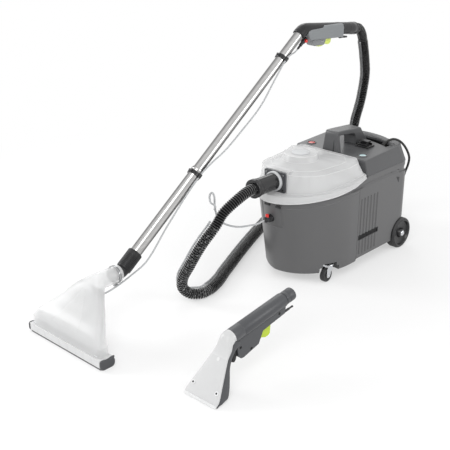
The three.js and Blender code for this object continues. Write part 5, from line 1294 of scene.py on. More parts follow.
def cover_line(inset, half, rear, height):
    """A line round the cover; height is a number or a function of Y."""
    line = []
    r = half - inset
    for x, y, is_rear, turn in ((r, COVER_FRONT + inset, 0, -1), (r, rear - inset, 1, 0),
                                (-r, rear - inset, 1, 1), (-r, COVER_FRONT + inset, 0, 2)):
        round_ = COVER_ROUND - inset if is_rear else 5
        cx = x - math.copysign(round_, x)
        cy = y - round_ if is_rear else y + round_
        for a in np.linspace(0, 1, 14):
            a = (turn + a) * math.pi / 2
            line.append((cx + round_ * math.cos(a), cy + round_ * math.sin(a)))
    line = np.array(line)
    z = height(line[:, 1]) if callable(height) else np.full(len(line), float(height))
    return np.column_stack([line, z])


cover_loops = [cover_line(1.2, COVER_LOW, COVER_REAR_LOW, SEAM),
               cover_line(0.2, COVER_LOW, COVER_REAR_LOW, SEAM + 0.8)]
EDGE_ROUND = 5           # the rounding between the sides and the top
for share in np.linspace(0.04, 1, 9):
    half = COVER_LOW + (COVER_HIGH + 1 - COVER_LOW) * share
    rear = COVER_REAR_LOW + (COVER_REAR_HIGH + 1 - COVER_REAR_LOW) * share
    height = lambda y: SEAM + (cover_top(y) - EDGE_ROUND - SEAM) * share
    cover_loops.append(cover_line(0, half, rear, height))
for angle in np.linspace(0.25, 1, 5) * math.pi / 2:
    height = lambda y: cover_top(y) - EDGE_ROUND + EDGE_ROUND * math.sin(angle)
    cover_loops.append(cover_line(EDGE_ROUND * (1 - math.cos(angle)), COVER_HIGH + 1,
                                  COVER_REAR_HIGH + 1, height))
cover_loops.append(cover_line(12, COVER_HIGH + 1, COVER_REAR_HIGH + 1, cover_top))
cover = make_object("top_shell", *placed_part(skin(cover_loops), "machine"), DARK_BODY, 30)


def rim_outer(x):
    return COVER_REAR_HIGH - 3 - 42 * abs(x / RIM_HALF) ** 3


def stow_back(x):
    return 214 - 30 * abs(x / RIM_HALF) ** 2


rim_loops = []
for x in np.linspace(-RIM_HALF, RIM_HALF, 49):
    y0, y1 = stow_back(x) + 0.1, rim_outer(x)
    top = RIM_TOP - 9 * abs(x / RIM_HALF) ** 2
    end = 1 - 0.9 * soft_step(abs(x), RIM_HALF - 8, RIM_HALF)
    top = 366 + (top - 366) * end
    section = [(y0, 348), (y1, 348), (y1, top - 9), (y1 - 0.6, top - 6), (y1 - 2.4, top - 3)]
    section += [(y0 + (y1 - y0) * s, top - 0.4 * (s - 0.5) ** 2 * 8) for s in (0.75, 0.6, 0.4, 0.2)]
    section += [(y0 + 2.6, top - 1.6), (y0 + 0.8, top - 4), (y0, top - 8)]
    rim_loops.append([(x, y, z) for y, z in section])
rim = make_object("rear_rim", *placed_part(skin(rim_loops), "machine"), DARK_BODY, 40)


def stow_line(grow):
    """A line round the recess for the lead, grown outwards by some millimetres."""
    xs = np.linspace(-116 - grow, 116 + grow, 41)
    back = [(x, stow_back(x) + grow) for x in xs]
    front = [(x, 190 - 24 * (x / (116 + grow)) ** 2 - grow) for x in xs[::-1]]
    return back + front


tools = [cutter("stow recess", plate(stow_line(0), (STOW_FLOOR, 420), axis="z"))]
for side in SIDES:
    well = round_bar(12.8, 40, (side * SWITCH_X, SWITCH_Y, 357), (0, 0, 1))
    tools.append(cutter("switch well", well))
inner_loops = [cover_line(4, COVER_LOW, COVER_REAR_LOW, SEAM - 3),
               cover_line(4, COVER_HIGH + 1, COVER_REAR_HIGH + 1, 343)]
tools.append(cutter("hollow", skin(inner_loops)))
boolean(cover, tools)
finish_piece(cover, "machine", "top_cover")
finish_piece(rim, "machine")
wall_out, wall_in = np.array(stow_line(-0.4)), np.array(stow_line(-2.4))
tray_loops = [np.column_stack([wall_out, cover_top(wall_out[:, 1]) - 0.6]),
              np.column_stack([wall_out, np.full(len(wall_out), 350.2)]),
              np.column_stack([wall_in, np.full(len(wall_in), 352.0)]),
              np.column_stack([wall_in, cover_top(wall_in[:, 1]) - 0.6])]
tray_floor = plate(stow_line(-2.0), (350.2, 352), axis="z")
piece("stow_tray", joined_parts(skin(tray_loops, closed=True), tray_floor), "machine",
      BLACK_PLASTIC)

COLLAR = [(12.8, 0), (12.8, 9), (13.4, 9.9), (14.4, 10), (16, 9.4), (17, 7.6), (17.4, 5),
          (12.8, 0)]
SWITCH_CAP = [(0, 0), (12.3, 0), (12.5, 0.6), (12.5, 10.4), (12.1, 11.4), (11, 12.2), (9, 12.9),
              (6, 13.4), (0, 13.7)]
collar_parts = [turned(COLLAR, (side * SWITCH_X, SWITCH_Y, 363), (0, 0, 1), 72) for side in SIDES]
piece("switch_collars", joined_parts(*collar_parts), "machine", DARK_BODY)
for side, name, material in ((1, "vacuum_switch", GREEN_CAP), (-1, "spray_switch", RED_CAP)):
    piece(f"{name}_cap", turned(SWITCH_CAP, (side * SWITCH_X, SWITCH_Y, 359.3), (0, 0, 1)),
          "machine", material, name, body=name)
print("cover", len(cover.data.polygons), "faces")

# %% [markdown]
# ## Handle and bracket
# The carrying bow is one thick moulding with a flared foot. It is an outline with a
# generous rounding, and the foot is a second skin that widens towards the cover.

# %% Carry handle
handle_outline = [(12, 369.6), (12, 430), (13.5, 436), (19, 440), (60, 437.6), (142, 431),
                  (149, 427), (154, 419), (184, 385), (185, 375.2), (120, 373), (119, 390),
                  (116, 407), (106, 415.6), (60, 421), (34, 425), (27, 421), (26, 410), (26, 370)]
rounded(piece("handle_bow", plate(handle_outline, 25), "machine", DARK_BODY, "carry_handle"), 4.5, 4, 30)
FOOT_LOW, FOOT_HIGH = 369.4, 431
foot_loops = []
for z in np.linspace(FOOT_LOW, FOOT_HIGH, 14):
    share = (z - FOOT_LOW) / (FOOT_HIGH - FOOT_LOW)
    half = 35 - 10.2 * share ** 0.8
    foot_loops.append([(-half, 11.8, z), (half, 11.8, z), (half, 26.2, z), (-half, 26.2, z)])
rounded(piece("handle_foot", skin(foot_loops), "machine", DARK_BODY), 3, 3, 50)

points, faces = plate([(7, 372), (12, 372), (12.6, 398), (11, 415), (9, 402)], 0.5)
points = np.column_stack([points[:, 1] + 2, 12.1 + points[:, 0], points[:, 2]])
piece("handle_slit", (points, faces), "machine", BLACK_PLASTIC)
print("handle outline", len(handle_outline), "points, foot", len(foot_loops), "rings")

# %% Accessory bracket
low = cover_top(151) + 0.3
BRACKET = [(29, 81, 109, 151, 0, 4.6), (42, 68, 121, 139, 4.4, 17), (37, 73, 119, 141, 15.4, 20),
           (36, 74, 112.5, 115.5, 4.4, 11), (36, 74, 144.5, 147.5, 4.4, 11)]
bracket_parts = [box_points(*sides, low + foot, low + top) for *sides, foot, top in BRACKET]
rounded(piece("bracket_block", joined_parts(*bracket_parts), "machine", BLACK_PLASTIC,
              "accessory_bracket"), 1.4, 3, 40)
print("bracket", len(BRACKET), "blocks")

# %% [markdown]
# ## The spray coupling
# A quick coupling: a knurled nut in the hull's face, a nozzle that the hose pushes into, and
# a red button on top that frees it.

# %% Coupling and button
WALL_Y = -291.4
coupling_profile = [(0, 0), (13, 0), (13, 8), (12.4, 9), (12.4, 11.4), (10.6, 12.2), (9.2, 13),
                    (9, 17), (8.4, 17.6), (8.4, 18.6), (9, 19.2), (9, 24), (8, 27), (5.6, 31),
                    (5, 35), (0, 35)]
piece("coupling_front", turned(coupling_profile, (0, WALL_Y + 5, 222), (0, -1, 0), 64), "machine",
      BLACK_PLASTIC, "machine_coupling")
NUT_RING = [(8.6, 0), (9.5, 0.4), (9.5, 1.2), (8.6, 1.6), (8.6, 0)]
rings = [turned(NUT_RING, (0, WALL_Y - 14.2 - 2.4 * number, 222), (0, -1, 0), 48)
         for number in range(4)]
piece("coupling_rings", joined_parts(*rings), "machine", SLATE_PLASTIC)
button_low, button_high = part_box("machine_coupling_button")
middle = (button_low + button_high) / 2
tall = (button_high.z - button_low.z) * 1000
button_line = [(0, 0), (5.5, 0), (5.5, tall - 2.2), (5.1, tall - 1), (4, tall - 0.3), (0, tall)]
button_part = turned(button_line, (middle.x * 1000, middle.y * 1000, button_low.z * 1000),
                     (0, 0, 1), 40)
piece("coupling_front_button", button_part, None, RED_PLASTIC, "machine_coupling_button",
      body="machine_coupling_button")

# %% [markdown]
# ## The dome lid
# The lid is a thin milky moulding that shows the waste water inside. From the rim inwards it
# is a deep skirt, a ledge, a steep wall, a flat shoulder and a low round knob. It is one
# skin of loops, outside and inside, and the bends between the faces get their own small
# loops, so that they catch the light as the moulding's rounded edges do.

# %% Lines of the lid
DOME = (368, 361, 361, 372)
LID_WALL, LID_CHAMFER = 3.2, 10
NOSE_STEPS, SIDE_STEPS = 110, 16


def lid_line(nose, side, back, heights, lift=0, chamfer=LID_CHAMFER):
    """A line round the lid. nose is a radius round the knob, or a distance out of the hull."""
    kind, size = nose
    if kind == "round":
        half, start, reach, roundness = size, KNOB_AT, size, 2.0
    else:
        half, start, roundness = HULL_HALF + size, NOSE_START, 1.75
        reach = NOSE_START - NOSE_TOP + size
    x, y = nose_line(half, reach, roundness, NOSE_STEPS)
    line = list(zip(x, start + y))
    corner = back - chamfer
    sides = [(half + (side - half) * t, start + (corner - start) * t)
             for t in np.linspace(0, 1, SIDE_STEPS + 1)[1:]]
    for t in np.linspace(0, 1, 6)[1:]:
        sides.append((side - chamfer * t, corner + chamfer * t))
    line += sides + [(-px, py) for px, py in sides[::-1]]
    line = np.array(line)
    return np.column_stack([line, line_height(line[:, 1], heights) + lift])


def knob_line(radius, z):
    """A round level line with as many points, matched to the lid's lines."""
    x, y = nose_line(radius, radius, 2.0, NOSE_STEPS)
    line = list(zip(x, KNOB_AT + y))
    rest = 2 * (SIDE_STEPS + 5)
    for i in range(1, rest + 1):
        a = math.pi * i / (rest + 1)
        line.append((radius * math.cos(a), KNOB_AT + radius * math.sin(a)))
    return np.column_stack([np.array(line), np.full(len(line), float(z))])


def bend(a, b, c, width, steps=4):
    """Loops that round the corner at b between a and c, over a width in millimetres."""
    to_a, to_c = a - b, c - b
    len_a = np.linalg.norm(to_a, axis=1)[:, None]
    len_c = np.linalg.norm(to_c, axis=1)[:, None]
    start = b + to_a / len_a * np.minimum(width, len_a * 0.45)
    end = b + to_c / len_c * np.minimum(width, len_c * 0.45)
    return [(1 - t) ** 2 * start + 2 * t * (1 - t) * b + t * t * end
            for t in np.linspace(0, 1, steps)]


def lid_section(inside):
    """The lid's lines from the knob outwards to the skirt, for the outer or the inner face."""
    t = LID_WALL if inside else 0
    lines = [knob_line(50 - t, 405 - t), knob_line(54 - t, 404.2 - t), knob_line(59.5 - t, 386 - t),
             lid_line(("round", 92 - t), 104 - t, -18 - t, DOME, 7 - t, 26),
             lid_line(("round", 121 - t), 137 - t, 7 - t, DOME, -t, 30),
             lid_line(("round", 129 - t), 150 - t, 8 - t, LEDGE, -t, 14),
             lid_line(("skirt", 6 - 2.4 - t), 158.1 - 2 - t, 8 - t, LEDGE, -t - 0.5),
             lid_line(("skirt", 6 - t), 158.1 - t, 8 - t, SKIRT)]
    widths = [1.4, 1.6, 1.6, 1.4, 1.4, 1.8, 1.4]
    loops = [lines[0]]
    for i in range(1, len(lines) - 1):
        loops += bend(lines[i - 1], lines[i], lines[i + 1], widths[i])
    return loops + [lines[-1]]


outer_face, inner_face = lid_section(False), lid_section(True)
lid = make_object("dome_lid", *placed_part(skin(outer_face + inner_face[::-1]), "machine"),
                  CLEAR, 34)
print("lid", len(lid.data.polygons), "faces")

# %% The port's block, and the holes
boss = cutter("boss", box_points(-43.4, 43.4, -266.8, -237, 307, 376.3))
boolean(lid, [boss], "UNION")
BORE = [(0, 0), (27.5, 0), (27.5, 66), (21, 66), (21, 140), (0, 140)]
holes = [cutter("front cut", box_points(-46, 46, -330, -267, 308, 400)),
         cutter("port bore", turned(BORE, (0, -317, 341.5), (0, 1, 0)))]
boolean(lid, holes)
finish_piece(lid, "lid", "lid")

INLAY = [(0, 0), (27.6, 0), (28.4, 0.4), (28.4, 1.1), (27.4, 1.6), (22, 2.0), (0, 2.3)]
piece("knob_inlay", turned(INLAY, (0, KNOB_AT, 404.6), (0, 0, 1)), "machine", PALE_GREY,
      body="lid")
bead = swept(lid_line(("skirt", 5.6), 157.7, 7.4, SKIRT, 1.2), 1.7, 8)
piece("lid_edge_bead", bead, "machine", CLEAR, body="lid")
# Painted highlights: thin beads along the lid's bends, in a paler and less clear finish, show the bright
# lines that the bends catch.
bright = []
for loop, radius in ((lid_line(("round", 121), 137, 7, DOME, 0.2, 30), 0.9),
                     (lid_line(("round", 92), 104, -18, DOME, 7.2, 26), 0.8),
                     (lid_line(("round", 129), 150, 8, LEDGE, 0.2, 14), 0.8),
                     (knob_line(54, 404.4), 0.9), (knob_line(59.5, 386.3), 0.7)):
    bright.append(swept(np.vstack([loop, loop[:1]]), radius, 6))
piece("lid_bright_edges", joined_parts(*bright), "machine", CLEAR_HIGHLIGHT,
      body="lid")
print("lid with its holes", len(lid.data.polygons), "faces")

# %% [markdown]
# ## The port on the lid
# The suction port is a flat plate with four screws, a pale ring and the hose's black
# end piece. The end piece has ribs for the fingers and a flared mouth for the hose.

# %% Plate, screws, ring and connector
PORT_Z, PORT_BORE, PLATE_BACK, PLATE_FACE = 341.5, 27.5, -267.3, -274.3
outline = []
for x, z, turn in ((42, 308.5, -1), (42, 374.5, 0), (-42, 374.5, 1), (-42, 308.5, 2)):
    for a in np.linspace(0, 1, 7):
        angle = (turn + a) * math.pi / 2
        outline.append((x - math.copysign(7, x) + 7 * math.cos(angle),
                        z - math.copysign(7, z - PORT_Z) + 7 * math.sin(angle)))
points, faces = plate(outline, (0, 7), axis="z")
points = np.column_stack([points[:, 0], PLATE_BACK - points[:, 2], points[:, 1]])
plate_thing = make_object("port_flange", *placed_part((points, faces), "machine"),
                          SLATE_PLASTIC, 30)
boolean(plate_thing, [cutter("plate bore", round_bar(PORT_BORE, 40, (0, -290, PORT_Z), (0, 1, 0)))])
rounded(plate_thing, 1.1, 3, 40)
finish_piece(plate_thing, "lid", "port_plate")


def screw(radius, height, at, direction, drive=0.9):
    """A pan-head screw with a cross drive, standing on a face."""
    head = turned([(0, 0), (radius, 0), (radius, height * 0.35), (radius * 0.86, height * 0.75),
                   (radius * 0.5, height * 0.97), (radius * 0.34, height),
                   (radius * 0.34, height - drive), (0, height - drive)], at, direction, 24)
    across, up, way = axis_frame(direction)
    at = np.asarray(at, float)
    arms = []
    for a, b in ((across, up), (up, across)):
        corners = [at + a * s * radius * 0.62 + b * t * radius * 0.11 for s, t in
                   ((-1, -1), (1, -1), (1, 1), (-1, 1))]
        arms.append(skin([[c + way * (height - 0.12) for c in corners],
                          [c + way * (height + 0.06) for c in corners]]))
    return head, joined_parts(*arms)


for level, z, material in (("upper", 365.5, STEEL), ("lower", 317.5, BLACK_PLASTIC)):
    for side, x in (("left", 33), ("right", -33)):
        head, cross = screw(3.6, 2, (x, PLATE_FACE - 0.3, z), (0, -1, 0))
        piece(f"flange_screw_{level}_{side}", head, "machine", material,
              f"port_screw_{level}_{side}", body="lid")
        # The cross drive is two thin crossed sheets on the head, painted with the shade black.
        piece(f"flange_screw_cross_{level}_{side}", cross, "machine", SHADE_BLACK,
              body="lid")

ring_part = turned([(27.5, 0), (32, 0), (32, 3.6), (31.6, 4.4), (31.6, 5.2), (32, 5.8), (31.6, 7.6),
                    (30, 9), (27.5, 9), (27.5, 0)], (0, PLATE_FACE - 0.3, PORT_Z), (0, -1, 0), 72)
piece("port_collar", ring_part, "machine", PALE_GREY, "port_ring", body="lid")
low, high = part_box("hose_connector")
start, end = high.y * 1000 - 353, low.y * 1000 - 353
length = start - end
MOUTH = [(27, 27), (27.8, 26.4), (27.8, 24.6), (27, 24), (27, 19), (28.4, 17.6), (29.7, 15.4),
         (30, 13), (30, 10), (29.3, 9.4), (29.3, 7.6), (30, 7), (30, 3), (29.6, 1.2), (28.4, 0.2),
         (24.4, 0), (19.4, 0.6), (19.1, 2), (19.1, 14), (17.5, 14), (17.5, 22), (22, 26)]
connector_profile = [(22, 0), (27, 0), (27, 40), *[(r, length - back) for r, back in MOUTH],
                     (22, 0)]
piece("hose_end_piece", turned(connector_profile, (0, start, PORT_Z), (0, -1, 0), 72), "machine",
      GLOSS_BLACK, "hose_connector", body="lid")
print("connector", round(length, 1), "mm long")

# %% [markdown]
# ## Solids seen only through the lid or when it is lifted
# The waste tub, the float and its cage, the motor and the pump keep their exact solids. They
# get their own finishes and softly rounded edges, which don't change the solids.

# %% Finishes for the solids that stay
KEPT = {"dirty_tank": TUB_WHITE, "float_cage": BLACK_PLASTIC, "float_disc": PALE_GREY,
        "turbine_rotor": STEEL, "vacuum_motor": SLATE_PLASTIC, "spray_pump": BLACK_PLASTIC}
for node, material in KEPT.items():
    for thing in [o for o in bpy.data.objects
                  if o.type == "MESH" and (o.name == node or o.get("node") == node)]:
        thing.data.materials.clear()
        thing.data.materials.append(material)
        rounded(thing, 0.5, 2, 40)

# %% [markdown]
# ## The floor nozzle
# The nozzle is a fan of clear white plastic that narrows from the width of the lip to a
# round neck. It is one skin of sections that lean over with the fan, with a wall inside.
# Thin ribs run down the inside and show through as soft stripes, and the jet sits behind the
# face, where it shows as a grey form.

# %% Sections of the fan
FAN = [(150, 20, 15, 30.3, 0, 0.22), (150, 20, 15, 44, 0, 0.22), (150, 20, 15, 57, 0, 0.24),
       (143, 19.8, 18.5, 64, 0.2, 0.26), (138, 19.5, 24, 72, 0.45, 0.3),
       (128, 19.5, 33.5, 80, 0.6, 0.35), (119, 19.5, 42, 88, 0.676, 0.4),
       (103, 19.8, 55.5, 103.5, 0.676, 0.45), (88, 20, 69, 119, 0.676, 0.5),
       (71, 20.6, 83, 136, 0.72, 0.55), (56, 21.5, 96, 150, 0.8, 0.6),
       (43.5, 22.6, 108, 158.6, 0.95, 0.7), (34, 24, 119, 163, 1.15, 0.8),
       (28, 24.7, 131, 165.6, 1.4, 0.92), (25, 25, 142, 166, math.pi / 2, 1),
       (25, 25, 171, 166, math.pi / 2, 1), (25, 25, 200, 166, math.pi / 2, 1)]
FACE_WAY = (0, math.sin(0.676), math.cos(0.676))


def fan_section(station, wall=0, count=132):
    """A section of the fan, from (half, depth, y, z, lean, squareness)."""
    half, depth, y, z, lean, square = station
    a = np.linspace(0, 2 * math.pi, count, endpoint=False)
    c, n = np.cos(a), np.sin(a)
    x = (half - wall) * np.sign(c) * np.abs(c) ** square
    d = (depth - wall) * np.sign(n) * np.abs(n) ** square
    return np.column_stack([x, y + d * math.cos(lean), z - d * math.sin(lean)])


def finer(stations, parts=3):
    """More sections on a curve through the given ones, so that the fan bends smoothly."""
    table = np.array(stations)
    rows = [table[0]]
    for i in range(1, len(table)):
        before, after = table[max(i - 2, 0)], table[min(i + 1, len(table) - 1)]
        for t in np.linspace(0, 1, parts + 1)[1:]:
            a, b = table[i - 1], table[i]
            slope_a, slope_b = (b - before) / 2, (after - a) / 2
            curve = ((2 * t ** 3 - 3 * t ** 2 + 1) * a + (t ** 3 - 2 * t ** 2 + t) * slope_a
                     + (3 * t ** 2 - 2 * t ** 3) * b + (t ** 3 - t ** 2) * slope_b)
            rows.append(curve if i > 3 else a + (b - a) * t)
    return rows


fan_rows = finer(FAN)
outer = [fan_section(row) for row in fan_rows]
inner = [fan_section(row, 2.8 if row[2] < 142 else 5.2) for row in fan_rows]
piece("fan_shell", skin(outer + inner[::-1], close_ends=False, closed=True), "wand", FAN_CLEAR,
      "floor_nozzle", sharp_angle=38)

ribs = []
for k in range(-4, 5):
    loops = []
    for half, depth, y, z, lean, square in fan_rows[2:34]:
        share = k / 4.6
        x = half * share
        reach = (depth - 3.2) * (1 - abs(share) ** (2 / square)) ** (square / 2)
        loops.append([(x + s * 0.9, y + t * reach * math.cos(lean), z - t * reach * math.sin(lean))
                      for s, t in ((-1, -1), (1, -1), (1, 0.8), (-1, 0.8))])
    ribs.append(skin(loops))
piece("fan_ribs", joined_parts(*ribs), "wand", RIB_CLEAR)
panel = []
for _, depth, y, z, lean, _ in fan_rows[10:31]:
    width = 56 * (1 - (z - 60) / (152 - 60)) + 2
    if 62 < z < 150:
        corners = [(s * width, depth + out)
                   for s, out in ((-1, 0.5), (1, 0.5), (1, -0.4), (-1, -0.4))]
        panel.append([(x, y - reach * math.cos(lean), z + reach * math.sin(lean))
                      for x, reach in corners])
piece("fan_panel", skin(panel), "wand", PANEL_CLEAR)
dashes = [box_points(x - 11, x + 11, -4.2, -3.4, 36, 38.4) for x in range(-132, 133, 33)]
piece("fan_notches", joined_parts(*dashes), "wand", PALE_GREY)
print("fan", len(fan_rows), "sections,", len(ribs), "ribs")

# %% The jet behind the face
JET = [(0, 0), (4, 0), (4, 9.6), (8.4, 12.4), (9, 14), (9, 22), (13.4, 24), (14, 25.4), (14, 31.6),
       (13.4, 33), (9.4, 33.8), (9, 35), (9, 44), (8, 45.6), (4.6, 47.4), (4, 49), (4, 59), (0, 59)]
piece("spray_jet", turned(JET, (0, 64.6, 59.5), FACE_WAY, 48), "wand", SLATE_PLASTIC, "nozzle_jet")
print("jet", JET[-1][1], "mm long")

# %% [markdown]
# ## The lips
# The lip bar is a stiff moulding in nine short bays, and below it a darker bar slides on the
# carpet. The bars are open slots, so each is a frame of walls. Round caps close the ends.

# %% Lip bars and end caps
LIP_HALF = 156.5


def across_lip(*box):
    """A wall over the whole width of the nozzle."""
    return box_points(-LIP_HALF, LIP_HALF, *box)


def lip_ends(*box):
    """The two walls that close a lip at its ends."""
    return [box_points(-LIP_HALF, -142, *box), box_points(142, LIP_HALF, *box)]


bar = [across_lip(-7.2, 0.8, 13.2, 27), across_lip(29, 37.4, 13.2, 29.6),
       *lip_ends(0, 30, 13.2, 29.6), across_lip(-8, 0.8, 26, 29.9), across_lip(-7.4, -5.6, 7, 14)]
for k in range(9):
    x = -LIP_HALF + (k + 0.5) * 2 * LIP_HALF / 9
    bar.append(box_points(x - 16.7, x + 16.7, -8, -6.8, 7.2, 25))
rounded(piece("lip_bar", joined_parts(*bar), "wand", LIP_GREY, "nozzle_lip"),
        0.5, 2, 40)
foot = [across_lip(-5.4, 12.5, 0, 12.7), across_lip(17.5, 38, 0, 12.7), *lip_ends(12, 18, 0, 12.7)]
lip_foot = make_object("lip_foot", *placed_part(joined_parts(*foot), "wand"), SLATE_PLASTIC)
rounded(lip_foot, 1.2, 3, 40)
cap_outline = [(-9, 12), (-7.4, 6), (-3, 2), (3, 0), (31, 0), (37, 2.4), (40, 7), (41, 13),
               (41, 20), (38.6, 22), (38.6, 26), (41, 28), (40.4, 30), (30, 30), (24, 27.4),
               (12, 27.4), (6, 30), (-4, 30), (-8, 28), (-9, 24)]
caps = [moved(plate(cap_outline, 2.85), side * 159.65) for side in SIDES]
cap_thing = make_object("lip_caps", *placed_part(joined_parts(*caps), "wand"), SLATE_PLASTIC)
rounded(cap_thing, 1.6, 3, 30)
finish_piece(lip_foot, "wand", "suction_lip")
finish_piece(cap_thing, "wand")
print("lip", 2 * LIP_HALF, "mm wide")

# %% [markdown]
# ## Clamp, bend and tubes
# A steel clamp holds the neck on the bend, whose cuff takes the lower tube. The upper tube
# slides into the lower one. Tubes and cuffs are turned profiles; the bend is swept.

# %% Clamp and cuff
def shaft_at(along):
    """A point on the axis of the tubes."""
    return np.array([0, 268 + along * math.cos(SHAFT_LEAN), 208 + along * math.sin(SHAFT_LEAN)])


SHAFT_WAY = (0, math.cos(SHAFT_LEAN), math.sin(SHAFT_LEAN))
CLAMP_BAND = [(25.2, 0), (26, 0.1), (27.2, 0.7), (27.2, 2.6), (26, 3.2), (25.2, 3.3), (25.2, 0)]
clamp_parts = [turned(CLAMP_BAND, (0, y, 166), (0, 1, 0), 72) for y in (182.6, 188.2)]
clamp_parts.append(turned([(25.2, 0), (25.9, 0), (25.9, 8.8), (25.2, 8.8), (25.2, 0)],
                          (0, 182.6, 166), (0, 1, 0), 72))
clamp_parts += [box_points(-5.6, 5.6, 183, 191, 129, 141.6),
                round_bar(3.4, 22, (-11, 187, 134.6), (1, 0, 0), 24)]
piece("neck_clamp", joined_parts(*clamp_parts), "wand", STEEL, "hose_clamp")

cuff_foot, cuff_middle = shaft_at(-62), (200 + shaft_at(-62)[1]) / 2
bend_marks = [(0, 174, 166), (0, 200, 166), (0, cuff_middle, 167), cuff_foot, shaft_at(-45)]
bend_route = smooth_route(bend_marks, 2)
cuff_profile = [(15, 0), (19.4, 0), (21.6, 1), (22.8, 3)]
for at in np.arange(6, 44, 4.6):
    cuff_profile += [(23, at), (22.2, at + 0.6), (22.2, at + 1.6), (23, at + 2.2)]
cuff_profile += [(23, 47), (23, 58), (22.6, 60.8), (21.4, 62), (18.8, 62), (18.8, 17), (15, 17),
                 (15, 0)]
cuff_parts = [swept(bend_route, 19.5, 48), turned(cuff_profile, shaft_at(-62), SHAFT_WAY, 72)]
piece("shaft_cuff", joined_parts(*cuff_parts), "wand", SOFT_BLACK, "wand_cuff")
print("bend", round(route_length(bend_route)), "mm along its middle")

# %% Tubes and clips
lower = turned([(17, 0), (18.4, 0), (18.4, 356), (18.7, 357), (19.4, 358.4), (19.7, 361),
                (19.4, 364), (18.7, 366), (17, 366.4), (17, 0)], shaft_at(-44.7), SHAFT_WAY, 96)
upper = turned([(15.3, 0), (16.7, 0), (16.7, 628), (15.3, 628), (15.3, 0)], shaft_at(282),
               SHAFT_WAY, 96)
piece("tube_low", lower, "wand", TUBE, "wand_lower_tube")
piece("tube_high", upper, "wand", TUBE, "wand_upper_tube")
for node, along, tube_radius in (("tube_clip_low", 302, 18.4), ("tube_clip_high", 795, 16.7)):
    outer_r = tube_radius + 3.1
    collar = turned([(tube_radius + 0.2, 0), (outer_r - 0.6, 0), (outer_r, 0.8), (outer_r, 5),
                     (outer_r + 0.8, 5.6), (outer_r + 0.8, 7.4), (outer_r, 8), (outer_r, 12.2),
                     (outer_r - 0.6, 13), (tube_radius + 0.2, 13), (tube_radius + 0.2, 0)],
                    shaft_at(along - 6.5), SHAFT_WAY, 64)
    start = shaft_at(along - 6.5) + np.array([outer_r + 2.5, 0, 0])
    eye = turned([(3, 0), (5.2, 0), (5.5, 0.8), (5.5, 12.2), (5.2, 13), (3, 13), (3, 0)], start,
                 SHAFT_WAY, 32)
    over = np.array([0, math.sin(SHAFT_LEAN), -math.cos(SHAFT_LEAN)])
    back = shaft_at(along) - over * (outer_r + 1.4)
    lug = turned([(0, 0), (3.4, 0), (3.4, 11), (2.6, 12), (0, 12)], back - np.array([6, 0, 0]),
                 (1, 0, 0), 24)
    piece(f"{node}_band", joined_parts(collar, eye, lug), "wand", BLACK_PLASTIC, node)
print("tubes", len(lower[1]), "and", len(upper[1]), "faces")

# %% [markdown]
# ## The grip
# The grip is a bent black tube with a soft cover; the grey housing under it holds the trigger.
# The housing is a thick plate with a softly rounded edge, and a paler saddle clasps the tube.

# %% Grip tube and hose cuff
GRIP = [shaft_at(900), shaft_at(906), shaft_at(912), (0, 1018, 750.4), (0, 1032, 751.8),
        (0, 1056, 749.9), (0, 1080, 747.1), (0, 1192, 735), (0, 1222, 731.5)]
grip_route = smooth_route(GRIP, 1.6)
run = np.linspace(0, 1, len(grip_route))
total = route_length(grip_route)
swell = 20.3 + 0.3 * window(run * total, 2, 12, 2)
swell += 0.6 * window(run * total, total - 22, total - 4, 2)
swell[0] = swell[-1] = 19.4
piece("grip_tube", swept(grip_route, swell, 56), "wand", SOFT_BLACK, "wand_grip")
GRIP_WAY = np.array([0, 24, -2.8]) / math.hypot(24, 2.8)
cuff_start = np.array([0, 1222, 731.5]) - 17 * GRIP_WAY
profile = [(10, 0), (12.2, 0), (12.2, 17.3), (19.6, 17.3), (20.5, 19.3), (20.5, 24)]
for at in np.arange(27, 60, 6):
    profile += [(20.5, at), (19.8, at + 0.8), (19.8, at + 2), (20.5, at + 2.8)]
profile += [(20.5, 63), (21.2, 71), (21.7, 78.75), (21.7, 93), (21.2, 94), (21.2, 96), (21.7, 97),
            (21.7, 102), (21.2, 104), (20.2, 105), (19.1, 105), (19.1, 88), (17.5, 84), (10, 84),
            (10, 0)]
piece("hose_end_cuff", turned(profile, cuff_start, GRIP_WAY, 72), "wand", GLOSS_BLACK, "hose_cuff")
print("grip", round(total), "mm along its middle")

# %% Trigger housing, trigger and screws
body = plate([(1044, 740), (1060, 698), (1070, 694), (1119, 692), (1132, 716), (1213, 703),
              (1219, 728), (1219, 740)], 15)
TRIGGER_SLOT = [(1086, 676), (1086, 722), (1128, 727), (1180, 722), (1180, 676)]
housing = make_object("grip_housing", *placed_part(body, "wand"), GREY_GRIP)
boolean(housing, [cutter("trigger slot", plate(TRIGGER_SLOT, 8.6), "wand")])
rounded(housing, 2.2, 3, 35)
finish_piece(housing, "wand", "trigger_housing")
saddle_part = plate([(1024, 742), (1034, 718), (1217, 705), (1219, 735), (1214, 751), (1112, 757),
                     (1102, 751), (1040, 752), (1028, 749)], 22.6)
rounded(piece("grip_saddle", saddle_part, "wand", SADDLE_GREY), 4, 4, 30)
nipple = turned([(0, 0), (5.4, 0), (5, 7), (3.4, 20), (3.4, 24), (4, 25), (3.4, 28), (4, 29),
                 (3.4, 32), (3.2, 41), (0, 41)], (13, 1206, 706.5), (0, 41, -5), 32)
piece("grip_nipple", nipple, "wand", BLACK_PLASTIC)
HOUSING_SCREWS = [(1060, 716, 3.2, BLACK_PLASTIC), (1110, 703, 2.6, STEEL),
                  (1204, 712, 3.2, BLACK_PLASTIC)]
for number, (y, z, r, material) in enumerate(HOUSING_SCREWS):
    for side in SIDES:
        head, _ = screw(r, 1.4, (side * 14.8, y, z), (side, 0, 0))
        piece(f"housing_screw_{number}_{'left' if side > 0 else 'right'}", head, "wand", material)
